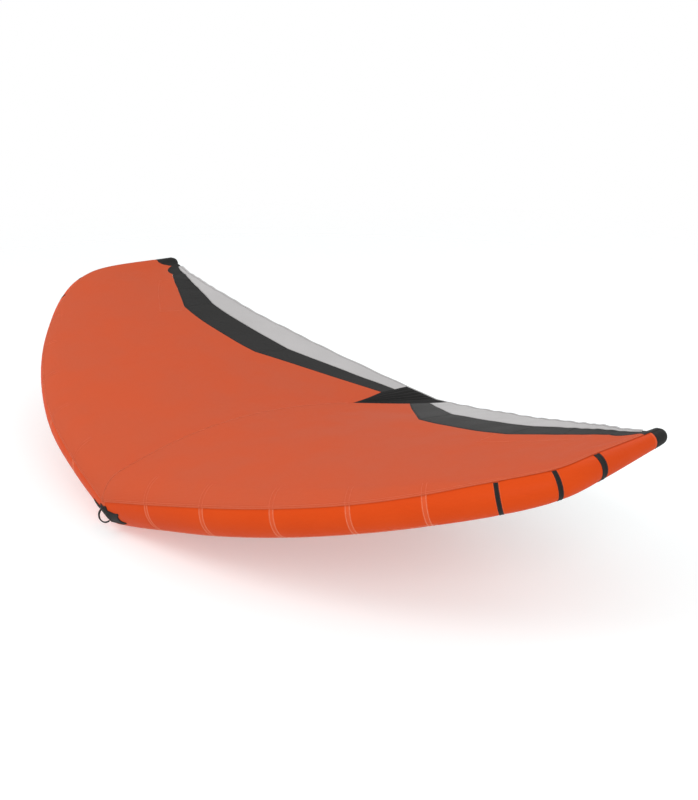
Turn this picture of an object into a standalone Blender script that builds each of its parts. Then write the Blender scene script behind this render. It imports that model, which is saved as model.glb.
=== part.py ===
"""An inflatable hand-held wing for wing foiling, built from its sewn and blown-up pieces.

Metres, +Z up. The nose points to -Y, the trailing edge to +Y and the tips to -X and +X.
Every piece of the right half is worked out on the +X side, and the left half is its mirror image.
A station counts panels along the leading edge, from 0 at the nose to 9 at the tip.
"""

import functools
import math

import bmesh
import bpy
from mathutils import Matrix, Vector
from mathutils.bvhtree import BVHTree

# Leading edge: the sleeve's centreline, its places at the panel joints counted from the nose
LE_HALF_SPAN = 1.672
LE_DEPTH = 1.322
LE_RISE = 0.459
LE_NOSE_RADIUS = 0.127
LE_SPAN_SHARES = (0.0, 0.170, 0.343, 0.512, 0.666, 0.799, 0.911, 0.982, 1.0, 0.995)
LE_DEPTH_SHARES = (0.0235, 0.036, 0.071, 0.146, 0.243, 0.354, 0.468, 0.581, 0.712, 1.0)
LE_RISE_SHARES = (-0.011, 0.143, 0.280, 0.417, 0.557, 0.690, 0.812, 0.907, 0.966, 1.0)
LE_RADIUS_SHARES = (1.0, 0.917, 0.837, 0.764, 0.693, 0.616, 0.539, 0.476, 0.425, 0.253)
LE_SIDES = 20
LE_PANELS = 9
RINGS_PER_PANEL = 2
NOSE_MITRE_SHARE = 0.5
SLOPE_STEP_SHARE = 0.02
AXIS_STEPS = 90
SEARCH_STEPS = 4
SLEEVE_CLOTH = 0.0010
SEAM_GAP = 0.0003

# Bladders
BLADDER_FILM = 0.0006
BLADDER_SLACK = 0.0003
BLADDER_END_SHARE = 0.5
BLADDER_BULGE_SHARE = 0.25

# Black bands over the outer three panel joints
BAND_JOINTS = (6, 7, 8)
BAND_WIDTH = 0.018
BAND_THICKNESS = 0.0008
BAND_BACK_ANGLE = -248.0

# Tip caps
TIP_CAP_LENGTH = 0.055
TIP_CAP_DOME = 0.034
TIP_CAP_ROWS = 4
DOME_OPEN_SHARE = 0.35

# Canopy: where it is sewn to the sleeve, where it leaves it, and its trailing edge
CENTRE_CHORD = 1.800
CANOPY_CLOTH = 0.0010
CLOTH_GAP = 0.0012
CANOPY_LIFT = 0.0016
CANOPY_SEAM_ANGLES = (4.0, 11.0, 21.0, 27.0, 33.0, 46.0, 68.0, 78.0, 82.0, 82.0)
CANOPY_LEAVE_ANGLES = (74.0, 78.0, 81.0, 84.5, 87.5, 89.0, 91.0, 94.0, 103.0, 132.0)
TE_SPAN_SHARES = (0.0, 0.176, 0.361, 0.490, 0.609, 0.703, 0.785, 0.848, 0.900, 0.964)
TE_CHORD_SHARES = (1.0, 0.924, 0.851, 0.809, 0.7755, 0.757, 0.741, 0.7353, 0.7335, 0.7417)
TE_RISE_SHARES = (0.027, 0.225, 0.434, 0.572, 0.693, 0.789, 0.869, 0.926, 0.960, 1.006)
START_PULL_SHARES = (1.22, 1.0, 0.9, 0.9, 0.9, 0.9, 0.9, 0.9, 0.8, 0.6)
END_PULL_SHARES = (1.1, 1.0, 1.0, 1.0, 1.0, 1.0, 1.0, 1.0, 0.8, 0.6)
TAIL_FALL_SHARES = (0.17, 0.16, 0.14, 0.12, 0.10, 0.08, 0.06, 0.04, 0.0, 0.0)
WRAP_ROWS = 5
CANOPY_ROWS = 6
PATCH_ROWS = 4
BAND_ROW_COUNT = 2
TIP_CORNER_ROW_COUNT = 8

# Corners of the coloured panels as (station, chord share), on the right half
BAND_FRONT_SHARES = ((0.37, 0.874), (2.1, 0.726), (4.9, 0.694), (6.0, 0.757), (7.2, 0.79), (8.4, 0.76),
                     (8.75, 0.75))
BAND_REAR_SHARES = ((0.439, 0.941), (2.0, 0.859), (4.9, 0.862), (5.9, 0.90), (7.5, 0.94), (8.75, 0.985))
ARROW_POINT_SHARE = 0.70
ARROW_CORNER_PANELS_SHARE = 0.5
TIP_CORNER_PANELS_SHARE = 8.75
HEM_WIDTH = 0.009
HEM_THICKNESS = 0.0024

# Strut: places along it are shares of the centre chord, counted from the nose sleeve's centreline
STRUT_RADIUS = 0.094
STRUT_SIDES = 20
STRUT_PLACE_SHARES = (0.02, 0.276, 0.458, 0.587, 0.689, 0.7965, 0.838, 0.90, 0.974, 1.03)
STRUT_RADIUS_SHARES = (1.01, 0.955, 0.921, 0.899, 0.843, 0.775, 0.69, 0.54, 0.391, 0.31)
WEB_HEIGHT = 0.130
WEB_HEIGHT_SHARES = (0.40, 0.965, 0.898, 0.652, 0.385, 0.0, 0.0, 0.0, 0.0, 0.0)
STRUT_SEAT = 0.0008
STRUT_NOSE_GAP = 0.0026
STRUT_BLADDER_SHARE = 0.12
STRUT_SEAM_SHARES = (0.689, 0.838, 0.955)
STRUT_END_SHARE = 1.000
STRUT_DOME = 0.040
STRUT_CAP_ROWS = 4
WEB_CLOTH = 0.0016
WEB_FRONT_SHARE = 0.055
WEB_NOSE_STEPS = 4

# Grab handles under the strut, front and rear: centre places as shares of the centre chord
HANDLE_PLACE_SHARES = (0.2345, 0.5785)
HANDLE_LENGTHS = (0.362, 0.397)
ANCHOR_LENGTH = 0.094
ANCHOR_WIDTH = 0.044
ANCHOR_CLOTH = 0.0016
TAB_HEIGHT = 0.0135
TAB_START_SHARES = (0.06, 0.66)
TAB_END_SHARES = (0.46, 0.97)
GRIP_THICKNESS = 0.0080
GRIP_WIDTH = 0.024
GRIP_END_WIDTH = 0.010
GRIP_BOW = 0.0145
GRIP_LEAD = 0.0025
GRIP_ROUND_SHARE = 0.6
GRIP_WIDEN_SHARE = 2.0
GRIP_STEPS = 14
GRIP_SIDES = 8

# Nose patch and towing loop
PATCH_SPAN_PLACES = (0.0, 0.023, 0.026, 0.0845, 0.092, 0.113)
PATCH_TOP_ANGLES = (-4.0, -4.0, -13.0, -20.0, -37.0, -41.0)
PATCH_BOTTOM_ANGLES = (-45.0, -46.0, -46.0, -50.0, -46.0, -44.0)
PATCH_CLOTH = 0.0016
NOSE_PATCH_ROW_COUNT = 5
NOSE_LOOP_ANGLES = (-8.0, -39.0)
NOSE_LOOP_BOW = 0.029
NOSE_LOOP_WIDTH = 0.012
NOSE_LOOP_THICKNESS = 0.006
NOSE_LOOP_STEPS = 12
NOSE_LOOP_SIDES = 6
NOSE_LOOP_WIDEN_SHARE = 2.0
NOSE_ROOT_DEGREES = (35.0, 70.0)

# Filling valve on the back of the right half
VALVE_PANELS_SHARE = 0.8
VALVE_ANGLE = 172.0
VALVE_FLANGE_RADIUS = 0.030
VALVE_FLANGE_THICKNESS = 0.0025
VALVE_NECK_RADIUS = 0.0195
VALVE_BORE_RADIUS = 0.0130
VALVE_NECK_DEPTH = 0.010
VALVE_COLLAR_HEIGHT = 0.006
VALVE_CAP_RADIUS = 0.023
VALVE_CAP_THICKNESS = 0.004
VALVE_PLUG_DEPTH = 0.005
VALVE_GRIP_LENGTH = 0.036
VALVE_GRIP_WIDTH = 0.005
VALVE_GRIP_HEIGHT = 0.007
FIT_GAP = 0.0003
FLANGE_LIFT = 0.0010
ROUND_SIDES = 32
CUTTER_DEPTH = 0.040

# Filling hose from the leading edge to the strut, and its pinch clamp
HOSE_PANELS_SHARE = 0.55
HOSE_LE_ANGLE = 197.0
HOSE_STRUT_SHARE = 0.175
HOSE_STRUT_ANGLE = 84.0
HOSE_RADIUS = 0.0075
HOSE_WALL = 0.0016
HOSE_SIDES = 10
HOSE_STEPS = 6
HOSE_LEAD = 0.006
HOSE_BULGE = 0.070
PORT_FLANGE_RADIUS = 0.019
PORT_FLANGE_THICKNESS = 0.002
PORT_NECK_RADIUS = 0.0100
PORT_NECK_DEPTH = 0.008
PORT_BORE_RADIUS = 0.0055
CLAMP_LENGTH = 0.030
CLAMP_RUN = 0.044
CLAMP_WALL = 0.0024
CLAMP_CHEEK_HEIGHT = 0.023
CLAMP_LEVER_THICKNESS = 0.0040
LEVER_ROUND_STEPS = 6

SHARP_ANGLE = 40.0

COLOURS = {
    "sleeve": (0.72, 0.072, 0.010),
    "canopy": (0.60, 0.115, 0.055),
    "black": (0.018, 0.017, 0.016),
    "window": (0.52, 0.50, 0.50),
    "film": (0.62, 0.66, 0.70),
    "hard": (0.03, 0.03, 0.032),
}


def smooth(values, station):
    """Cubic through the values at whole stations, read at any station between them."""
    last = len(values) - 1
    station = min(max(station, 0.0), float(last))
    low = min(int(station), last - 1)
    here, there = values[low], values[low + 1]
    before = values[low - 1] if low > 0 else 2 * here - there
    after = values[low + 2] if low + 2 <= last else 2 * there - here
    rise, fall = (there - before) / 2, (after - here) / 2
    u = station - low
    return ((2 * u**3 - 3 * u**2 + 1) * here + (u**3 - 2 * u**2 + u) * rise
            + (3 * u**2 - 2 * u**3) * there + (u**3 - u**2) * fall)


def le_centre(station):
    return Vector((LE_HALF_SPAN * smooth(LE_SPAN_SHARES, station),
                   LE_DEPTH * smooth(LE_DEPTH_SHARES, station),
                   LE_RISE * smooth(LE_RISE_SHARES, station)))


def le_radius(station):
    return LE_NOSE_RADIUS * smooth(LE_RADIUS_SHARES, station)


def le_frame(station):
    """The sleeve's direction, its level forward direction and its top direction at a station."""
    run = le_centre(station + SLOPE_STEP_SHARE) - le_centre(station - SLOPE_STEP_SHARE)
    mitre = min(station / NOSE_MITRE_SHARE, 1.0)
    run = run.normalized() * mitre + Vector((1, 0, 0)) * (1 - mitre)
    run.normalize()
    front = run.cross(Vector((0, 0, 1))).normalized()
    top = front.cross(run).normalized()
    if top.z < 0:
        top.negate()
    return run, front, top


def round_point(station, degrees, lift):
    _, front, top = le_frame(station)
    turn = math.radians(degrees)
    radius = le_radius(station) + lift
    return le_centre(station) + (front * math.cos(turn) + top * math.sin(turn)) * radius


def sleeve_point(station, degrees, lift=0.0):
    """A point on the sleeve, straight between rings. 0 degrees is level and forward, 90 is the top."""
    low = math.floor(station * RINGS_PER_PANEL) / RINGS_PER_PANEL
    share = (station - low) * RINGS_PER_PANEL
    start = round_point(low, degrees, lift)
    if share <= 0:
        return start
    return start.lerp(round_point(low + 1 / RINGS_PER_PANEL, degrees, lift), share)


def te_point(station):
    return Vector((LE_HALF_SPAN * smooth(TE_SPAN_SHARES, station),
                   CENTRE_CHORD * smooth(TE_CHORD_SHARES, station),
                   LE_RISE * smooth(TE_RISE_SHARES, station)))


def canopy_point(station, share):
    """The canopy's under face. Shares from -1 to 0 wrap the sleeve, from 0 to 1 run to the trailing edge."""
    seam, leave = smooth(CANOPY_SEAM_ANGLES, station), smooth(CANOPY_LEAVE_ANGLES, station)
    if share <= 0:
        return sleeve_point(station, leave + (leave - seam) * share, CANOPY_LIFT)
    start, end = sleeve_point(station, leave, CANOPY_LIFT), te_point(station)
    chord = (end - start).length
    _, front, top = le_frame(station)
    turn = math.radians(leave)
    leaving = front * -math.sin(turn) + top * math.cos(turn)
    if station <= 0:
        leaving.x = 0.0
    ending = Vector((end.x - start.x, end.y - start.y, 0)).normalized()
    if station < 1:
        ending = (ending * station + Vector((0, 1, 0)) * (1 - station)).normalized()
    ending.z = -smooth(TAIL_FALL_SHARES, station)
    leaving = leaving * chord * smooth(START_PULL_SHARES, station)
    ending = ending * chord * smooth(END_PULL_SHARES, station)
    u = share
    return (start * (2 * u**3 - 3 * u**2 + 1) + leaving * (u**3 - 2 * u**2 + u)
            + end * (3 * u**2 - 2 * u**3) + ending * (u**3 - u**2))


# Building helpers

def material(name, colour, roughness=0.6):
    made = bpy.data.materials.new(name)
    made.use_nodes = True
    shader = made.node_tree.nodes["Principled BSDF"]
    shader.inputs["Base Color"].default_value = (*COLOURS[colour], 1.0)
    shader.inputs["Roughness"].default_value = roughness
    shader.inputs["Metallic"].default_value = 0.0
    made.diffuse_color = (*COLOURS[colour], 1.0)
    return made


def finish(name, bm, colour, frame, roughness=0.6):
    """The bmesh as an object with faces turned out, its own material and the wing's frame as parent."""
    bmesh.ops.recalc_face_normals(bm, faces=bm.faces[:])
    mesh = bpy.data.meshes.new(name)
    bm.to_mesh(mesh)
    bm.free()
    mesh.shade_smooth()
    mesh.set_sharp_from_angle(angle=math.radians(SHARP_ANGLE))
    made = bpy.data.objects.new(name, mesh)
    mesh.materials.append(material(name, colour, roughness))
    bpy.context.scene.collection.objects.link(made)
    made.parent = frame
    return made


def skin(rows, ring=False, capped=False):
    """A bmesh surface through rows of points. ring joins each row's ends, capped closes the end rows."""
    bm = bmesh.new()
    grid = [[bm.verts.new(point) for point in row] for row in rows]
    for upper, lower in zip(grid, grid[1:]):
        count = len(upper)
        for i in range(count if ring else count - 1):
            k = (i + 1) % count
            bm.faces.new((upper[i], upper[k], lower[k], lower[i]))
    if capped:
        bm.faces.new(reversed(grid[0]))
        bm.faces.new(grid[-1])
    return bm


def cloth(name, rows, thickness, out_of, colour, frame, ring=False, inward=False, capped=False):
    """A sheet through rows of points, thickened away from the point out_of, or towards it."""
    bm = skin(rows, ring, capped)
    bm.normal_update()
    votes = sum(1 if face.normal.dot(face.calc_center_median() - out_of(face.calc_center_median())) > 0
                else -1 for face in bm.faces)
    if votes < 0:
        bmesh.ops.reverse_faces(bm, faces=bm.faces[:])
    mesh = bpy.data.meshes.new(name)
    bm.to_mesh(mesh)
    bm.free()
    mesh.shade_smooth()
    mesh.set_sharp_from_angle(angle=math.radians(SHARP_ANGLE))
    made = bpy.data.objects.new(name, mesh)
    mesh.materials.append(material(name, colour))
    bpy.context.scene.collection.objects.link(made)
    made.parent = frame
    solidify = made.modifiers.new("Thickness", "SOLIDIFY")
    solidify.thickness = thickness
    solidify.offset = -1.0 if inward else 1.0
    solidify.use_even_offset = True
    return made


def mirrored(point, side):
    return Vector((point.x * side, point.y, point.z))


def under_point(point):
    """A point well below a canopy point, so that the canopy thickens upwards."""
    return point - Vector((0, 0, LE_RISE))


# Leading edge

def sleeve_ring(station, lift, side, sides=LE_SIDES):
    shift = Vector((SEAM_GAP, 0, 0)) if station <= 0 else Vector()
    return [mirrored(sleeve_point(station, 360 * i / sides, lift) + shift, side) for i in range(sides)]


def sleeve_axis(point):
    """The nearest point of the sleeve's centreline, on the point's own side."""
    side = -1 if point.x < 0 else 1
    line = (le_centre(LE_PANELS * i / AXIS_STEPS) for i in range(AXIS_STEPS + 1))
    return mirrored(min(line, key=lambda centre: (mirrored(centre, side) - point).length), side)


def cap_station():
    """The station where the tip cap's edge meets the last sleeve panel."""
    last = (le_centre(LE_PANELS) - le_centre(LE_PANELS - 1)).length
    return LE_PANELS - TIP_CAP_LENGTH / last


def make_sleeve_panels(frame):
    for side, word in ((-1, "left"), (1, "right")):
        for panel in range(LE_PANELS):
            length = (le_centre(panel + 1) - le_centre(panel)).length
            gap = SEAM_GAP / 2 / length
            start = panel + (gap if panel else 0)
            end = panel + 1 - gap if panel < LE_PANELS - 1 else cap_station() - gap
            inner = [panel + i / RINGS_PER_PANEL for i in range(1, RINGS_PER_PANEL)]
            stations = [start, *inner, end]
            rows = [sleeve_ring(t, 0.0, side) for t in stations]
            cloth(f"leading_edge_panel_{panel + 1}_{word}", rows, SLEEVE_CLOTH, sleeve_axis, "sleeve",
                  frame, ring=True, inward=True)


def make_le_bladder(frame):
    sunk = -(SLEEVE_CLOTH + BLADDER_SLACK)
    sides = LE_SIDES // 2
    count = LE_PANELS * RINGS_PER_PANEL
    rows = []
    for i in range(-count + 1, count):
        side = -1 if i < 0 else 1
        rows.append([mirrored(sleeve_point(abs(i) / RINGS_PER_PANEL, 360 * k / sides, sunk), side)
                     for k in range(sides)])
    for side in (1, -1):
        station = cap_station()
        centre = le_centre(station)
        ring = [mirrored(sleeve_point(station, 360 * k / sides, sunk), side) for k in range(sides)]
        small = [mirrored(centre, side).lerp(p, BLADDER_END_SHARE) for p in ring]
        if side > 0:
            rows += [ring, small]
        else:
            rows = [small, ring] + rows
    return cloth("leading_edge_bladder", rows, BLADDER_FILM, sleeve_axis, "film", frame,
                 ring=True, inward=True, capped=True)


def make_bands(frame):
    for side, word in ((-1, "left"), (1, "right")):
        for number, joint in enumerate(BAND_JOINTS, start=1):
            length = (le_centre(joint) - le_centre(joint - 1)).length
            half = BAND_WIDTH / 2 / length
            top = smooth(CANOPY_SEAM_ANGLES, joint)
            step = 360 / LE_SIDES
            # the band starts below the canopy's seam by its own thickness and the lift
            start = top - math.degrees((CANOPY_LIFT + BAND_THICKNESS) / le_radius(joint))
            whole = range(math.ceil(BAND_BACK_ANGLE / step), math.floor(start / step) + 1)
            angles = [BAND_BACK_ANGLE, *(step * i for i in whole), start]
            angles = [a for i, a in enumerate(angles) if i == 0 or a - angles[i - 1] > step / 4]
            rows = [[mirrored(sleeve_point(joint + share * half, a, FIT_GAP), side) for a in angles]
                    for share in (-1, 0, 1)]
            cloth(f"tip_band_{number}_{word}", rows, BAND_THICKNESS, sleeve_axis, "black", frame)


def make_tip_caps(frame):
    start = cap_station()
    for side, word in ((-1, "left"), (1, "right")):
        run, _, _ = le_frame(LE_PANELS)
        centre = le_centre(LE_PANELS)
        edge = [sleeve_point(LE_PANELS, 360 * i / LE_SIDES) for i in range(LE_SIDES)]
        rows = [sleeve_ring(start, 0.0, side), sleeve_ring(LE_PANELS, 0.0, side)]
        for row in range(1, TIP_CAP_ROWS + 1):
            turn = math.pi / 2 * row / (TIP_CAP_ROWS + DOME_OPEN_SHARE)
            rows.append([mirrored(centre + (p - centre) * math.cos(turn)
                                  + run * (TIP_CAP_DOME * math.sin(turn)), side) for p in edge])
        cup(f"tip_cap_{word}", rows, SLEEVE_CLOTH, frame)


def cup(name, rows, wall, frame):
    """A cup through rows of rings, closed at the last one, with its wall inside."""
    bm = skin(rows, ring=True)
    bm.verts.ensure_lookup_table()
    bm.faces.new(bm.verts[len(bm.verts) - len(rows[-1]):])
    bmesh.ops.recalc_face_normals(bm, faces=bm.faces[:])
    middle = sum(rows[0], Vector()) / len(rows[0])
    last = sum(rows[-1], Vector()) / len(rows[-1])
    bm.normal_update()
    bm.faces.ensure_lookup_table()
    if bm.faces[-1].normal.dot(last - middle) < 0:
        bmesh.ops.reverse_faces(bm, faces=bm.faces[:])
    mesh = bpy.data.meshes.new(name)
    bm.to_mesh(mesh)
    bm.free()
    mesh.shade_smooth()
    mesh.set_sharp_from_angle(angle=math.radians(SHARP_ANGLE))
    made = bpy.data.objects.new(name, mesh)
    mesh.materials.append(material(name, "black"))
    bpy.context.scene.collection.objects.link(made)
    made.parent = frame
    solidify = made.modifiers.new("Thickness", "SOLIDIFY")
    solidify.thickness = wall
    solidify.offset = -1.0
    return made


# Canopy

def along(pairs, station):
    """The chord share at a station on a line of (station, share) corners."""
    if station <= pairs[0][0]:
        return pairs[0][1]
    for (low, a), (high, b) in zip(pairs, pairs[1:]):
        if station <= high:
            return a + (b - a) * (station - low) / (high - low)
    return pairs[-1][1]


def chord_share(length, station):
    """A length as a share of the chord at a station."""
    return length / (te_point(station) - sleeve_point(station, 90)).length


def panel_columns(corners):
    """Stations every half panel up to the tip corner, with the nearest ones moved onto the corners."""
    stations = [i / RINGS_PER_PANEL for i in range(int(TIP_CORNER_PANELS_SHARE * RINGS_PER_PANEL) + 1)]
    stations.append(TIP_CORNER_PANELS_SHARE)
    moved = list(stations)
    for corner, _ in corners:
        nearest = min(range(len(stations)), key=lambda i: abs(stations[i] - corner))
        moved[nearest] = corner
    return stations, moved


def patch(columns, rows):
    """Rows of points between the two ends, (station, share) each, of every column."""
    return [[Vector(canopy_point(a[0] + (b[0] - a[0]) * i / rows, a[1] + (b[1] - a[1]) * i / rows))
             for i in range(rows + 1)] for a, b in columns]


def canopy_piece(name, columns, rows, side, colour, frame):
    grid = [[mirrored(p, side) for p in column] for column in patch(columns, rows)]
    return cloth(name, grid, CANOPY_CLOTH, under_point, colour, frame)


def gap_stations(station):
    """The cloth gap at a station's trailing edge, counted in stations."""
    return CLOTH_GAP / (te_point(station) - te_point(station - 1)).length


def make_canopy_panels(frame):
    fronts, rears = panel_columns(BAND_FRONT_SHARES[:3])
    tip_gap = gap_stations(LE_PANELS)
    for side, word in ((-1, "left"), (1, "right")):
        grid = []
        for front, rear in zip(fronts, rears):
            share = ARROW_POINT_SHARE if front == 0 else along(BAND_FRONT_SHARES, rear)
            share -= chord_share(CLOTH_GAP, rear)
            if front == TIP_CORNER_PANELS_SHARE:
                front, rear = front - tip_gap, rear - tip_gap
            column = [canopy_point(front, -1 + i / WRAP_ROWS) for i in range(WRAP_ROWS)]
            column += [canopy_point(front + (rear - front) * i / CANOPY_ROWS, share * i / CANOPY_ROWS)
                       for i in range(CANOPY_ROWS + 1)]
            if front == 0:
                column = [p + Vector((CLOTH_GAP / 2, 0, 0)) for p in column]
            grid.append([mirrored(p, side) for p in column])
        cloth(f"canopy_panel_{word}", grid, CANOPY_CLOTH, under_point, "canopy", frame)


def make_bands_and_windows(frame):
    _, fronts = panel_columns(BAND_FRONT_SHARES[:3])
    _, rears = panel_columns(BAND_REAR_SHARES[:3])
    tip_gap, side_gap = gap_stations(LE_PANELS), gap_stations(1)
    band, window = [], []
    for front, rear in zip(fronts[1:], rears[1:]):
        front_share, rear_share = along(BAND_FRONT_SHARES, front), along(BAND_REAR_SHARES, rear)
        edge = rear if window else ARROW_CORNER_PANELS_SHARE
        shift = -tip_gap if front == TIP_CORNER_PANELS_SHARE else 0.0 if window else side_gap
        band_end = rear_share - chord_share(CLOTH_GAP, rear)
        band.append(((front + shift, front_share), (rear + shift, band_end)))
        window.append(((rear + shift, rear_share), (edge + shift, 1.0)))
    for side, word in ((-1, "left"), (1, "right")):
        canopy_piece(f"trailing_band_{word}", band, BAND_ROW_COUNT, side, "black", frame)
        canopy_piece(f"window_panel_{word}", window, BAND_ROW_COUNT, side, "window", frame)


def make_centre_patch(frame):
    station, share = BAND_FRONT_SHARES[0]
    half = [((0.0, ARROW_POINT_SHARE), (0.0, 1.0)), ((station, share), (ARROW_CORNER_PANELS_SHARE, 1.0))]
    right = patch(half, PATCH_ROWS)
    left = [[mirrored(p, -1) for p in column] for column in reversed(right[1:])]
    cloth("centre_patch", left + right, CANOPY_CLOTH, under_point, "black", frame)


def make_tip_corners(frame):
    middle = (TIP_CORNER_PANELS_SHARE + LE_PANELS) / 2
    columns = [((t, -1.0), (t, 1.0)) for t in (TIP_CORNER_PANELS_SHARE, middle, LE_PANELS)]
    for side, word in ((-1, "left"), (1, "right")):
        canopy_piece(f"tip_corner_{word}", columns, TIP_CORNER_ROW_COUNT, side, "black", frame)


def make_hems(frame):
    """A folded tape along the trailing edge, from the centre to the tip corner."""
    stations = [i / RINGS_PER_PANEL for i in range(int(TIP_CORNER_PANELS_SHARE * RINGS_PER_PANEL) + 1)]
    for side, word in ((-1, "left"), (1, "right")):
        rows = []
        for t in stations:
            edge = canopy_point(t, 1.0)
            back = (edge - canopy_point(t, 1 - chord_share(HEM_WIDTH, t))).normalized()
            near = edge + back * SEAM_GAP
            far = edge + back * HEM_WIDTH
            if t == 0:
                near, far = near + Vector((CLOTH_GAP, 0, 0)), far + Vector((CLOTH_GAP, 0, 0))
            rows.append([mirrored(near, side), mirrored(far, side)])
        cloth(f"trailing_edge_hem_{word}", rows, HEM_THICKNESS, under_point, "window", frame)


# Strut

def linear(places, values, place):
    if place <= places[0]:
        return values[0]
    for low, high, a, b in zip(places, places[1:], values, values[1:]):
        if place <= high:
            return a + (b - a) * (place - low) / (high - low)
    return values[-1]


@functools.lru_cache(maxsize=None)
def centre_line():
    """The corners of the canopy's middle line, from the sleeve to the trailing edge."""
    front = [canopy_point(0, ARROW_POINT_SHARE * i / CANOPY_ROWS) for i in range(CANOPY_ROWS)]
    rest = 1 - ARROW_POINT_SHARE
    return front + [canopy_point(0, ARROW_POINT_SHARE + rest * i / PATCH_ROWS) for i in range(PATCH_ROWS + 1)]


def canopy_height(y):
    """Height of the canopy's middle line over the nose sleeve's centreline, at a distance back."""
    line = centre_line()
    if y > line[-1].y:
        slope = (line[-1].z - line[-2].z) / (line[-1].y - line[-2].y)
        return line[-1].z + (y - line[-1].y) * slope
    return linear([p.y for p in line], [p.z for p in line], y)


def strut_radius(share):
    return STRUT_RADIUS * linear(STRUT_PLACE_SHARES, STRUT_RADIUS_SHARES, share)


@functools.lru_cache(maxsize=None)
def strut_heights():
    return [canopy_height(CENTRE_CHORD * share) - STRUT_SEAT - WEB_HEIGHT * web - STRUT_RADIUS * radius
            for share, web, radius in zip(STRUT_PLACE_SHARES, WEB_HEIGHT_SHARES, STRUT_RADIUS_SHARES)]


def strut_centre(share):
    return Vector((0, CENTRE_CHORD * share, linear(STRUT_PLACE_SHARES, strut_heights(), share)))


def strut_ring(share, lift, sides=STRUT_SIDES):
    """A ring square to Y. Point 0 is the top, and the points go round towards +X."""
    centre, radius = strut_centre(share), strut_radius(share) + lift
    turns = [2 * math.pi * i / sides for i in range(sides)]
    return [centre + Vector((math.sin(turn), 0, math.cos(turn))) * radius for turn in turns]


@functools.lru_cache(maxsize=None)
def nose_tree():
    """The sleeve's facets either side of the nose, to find where the strut meets them."""
    middle = [sleeve_point(0, 360 * i / LE_SIDES, STRUT_NOSE_GAP) for i in range(LE_SIDES)]
    sides = [sleeve_ring(1 / RINGS_PER_PANEL, STRUT_NOSE_GAP, side) for side in (-1, 1)]
    bm = skin([sides[0], middle, sides[1]], ring=True)
    bmesh.ops.triangulate(bm, faces=bm.faces[:])
    tree = BVHTree.FromBMesh(bm)
    bm.free()
    return tree


def scribed(number):
    """Where one corner line of the strut ends, short of the back of the nose."""
    share = STRUT_PLACE_SHARES[0]
    for _ in range(SEARCH_STEPS):
        point = strut_ring(share, 0.0)[number]
        hit = nose_tree().ray_cast(Vector((point.x, CENTRE_CHORD, point.z)), Vector((0, -1, 0)))[0]
        share = hit.y / CENTRE_CHORD
    return strut_ring(share, 0.0)[number]


def make_strut_panels(frame):
    cuts = [STRUT_PLACE_SHARES[0], *STRUT_SEAM_SHARES]
    names = ("strut_panel_front", "strut_panel_middle", "strut_panel_rear")
    gap = SEAM_GAP / 2 / CENTRE_CHORD
    for number, name in enumerate(names):
        start, end = cuts[number] + gap, cuts[number + 1] - gap
        shares = [s for s in STRUT_PLACE_SHARES if start + gap < s < end - gap]
        rows = [strut_ring(s, 0.0) for s in (start, *shares, end)]
        if number == 0:
            rows[0] = [scribed(i) for i in range(STRUT_SIDES)]
        cloth(name, rows, SLEEVE_CLOTH, strut_axis, "sleeve", frame, ring=True, inward=True)


def strut_axis(point):
    return strut_centre(point.y / CENTRE_CHORD)


def make_strut_cap(frame):
    gap = SEAM_GAP / 2 / CENTRE_CHORD
    start, end = STRUT_SEAM_SHARES[-1] + gap, STRUT_END_SHARE
    inner = [s for s in STRUT_PLACE_SHARES if start < s < end]
    rows = [strut_ring(s, 0.0) for s in (start, *inner, end)]
    centre = strut_centre(end)
    for row in range(1, STRUT_CAP_ROWS + 1):
        turn = math.pi / 2 * row / (STRUT_CAP_ROWS + DOME_OPEN_SHARE)
        rows.append([centre + (p - centre) * math.cos(turn) + Vector((0, STRUT_DOME * math.sin(turn), 0))
                     for p in strut_ring(end, 0.0)])
    cup("strut_end_cap", rows, SLEEVE_CLOTH, frame)


def make_strut_bladder(frame):
    sunk = -(SLEEVE_CLOTH + BLADDER_SLACK)
    sides = STRUT_SIDES // 2
    shares = [s for s in STRUT_PLACE_SHARES if STRUT_BLADDER_SHARE < s < STRUT_END_SHARE]
    shares = [STRUT_BLADDER_SHARE, *shares, STRUT_END_SHARE]
    rows = [strut_ring(s, sunk, sides) for s in shares]
    first, last = strut_centre(shares[0]), strut_centre(shares[-1])
    ahead = Vector((0, -STRUT_RADIUS * BLADDER_BULGE_SHARE, 0))
    behind = Vector((0, STRUT_DOME * BLADDER_BULGE_SHARE, 0))
    front = [first.lerp(p, BLADDER_END_SHARE) + ahead for p in rows[0]]
    back = [last.lerp(p, BLADDER_END_SHARE) + behind for p in rows[-1]]
    return cloth("strut_bladder", [front, *rows, back], BLADDER_FILM, strut_axis, "film", frame,
                 ring=True, inward=True, capped=True)


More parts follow.
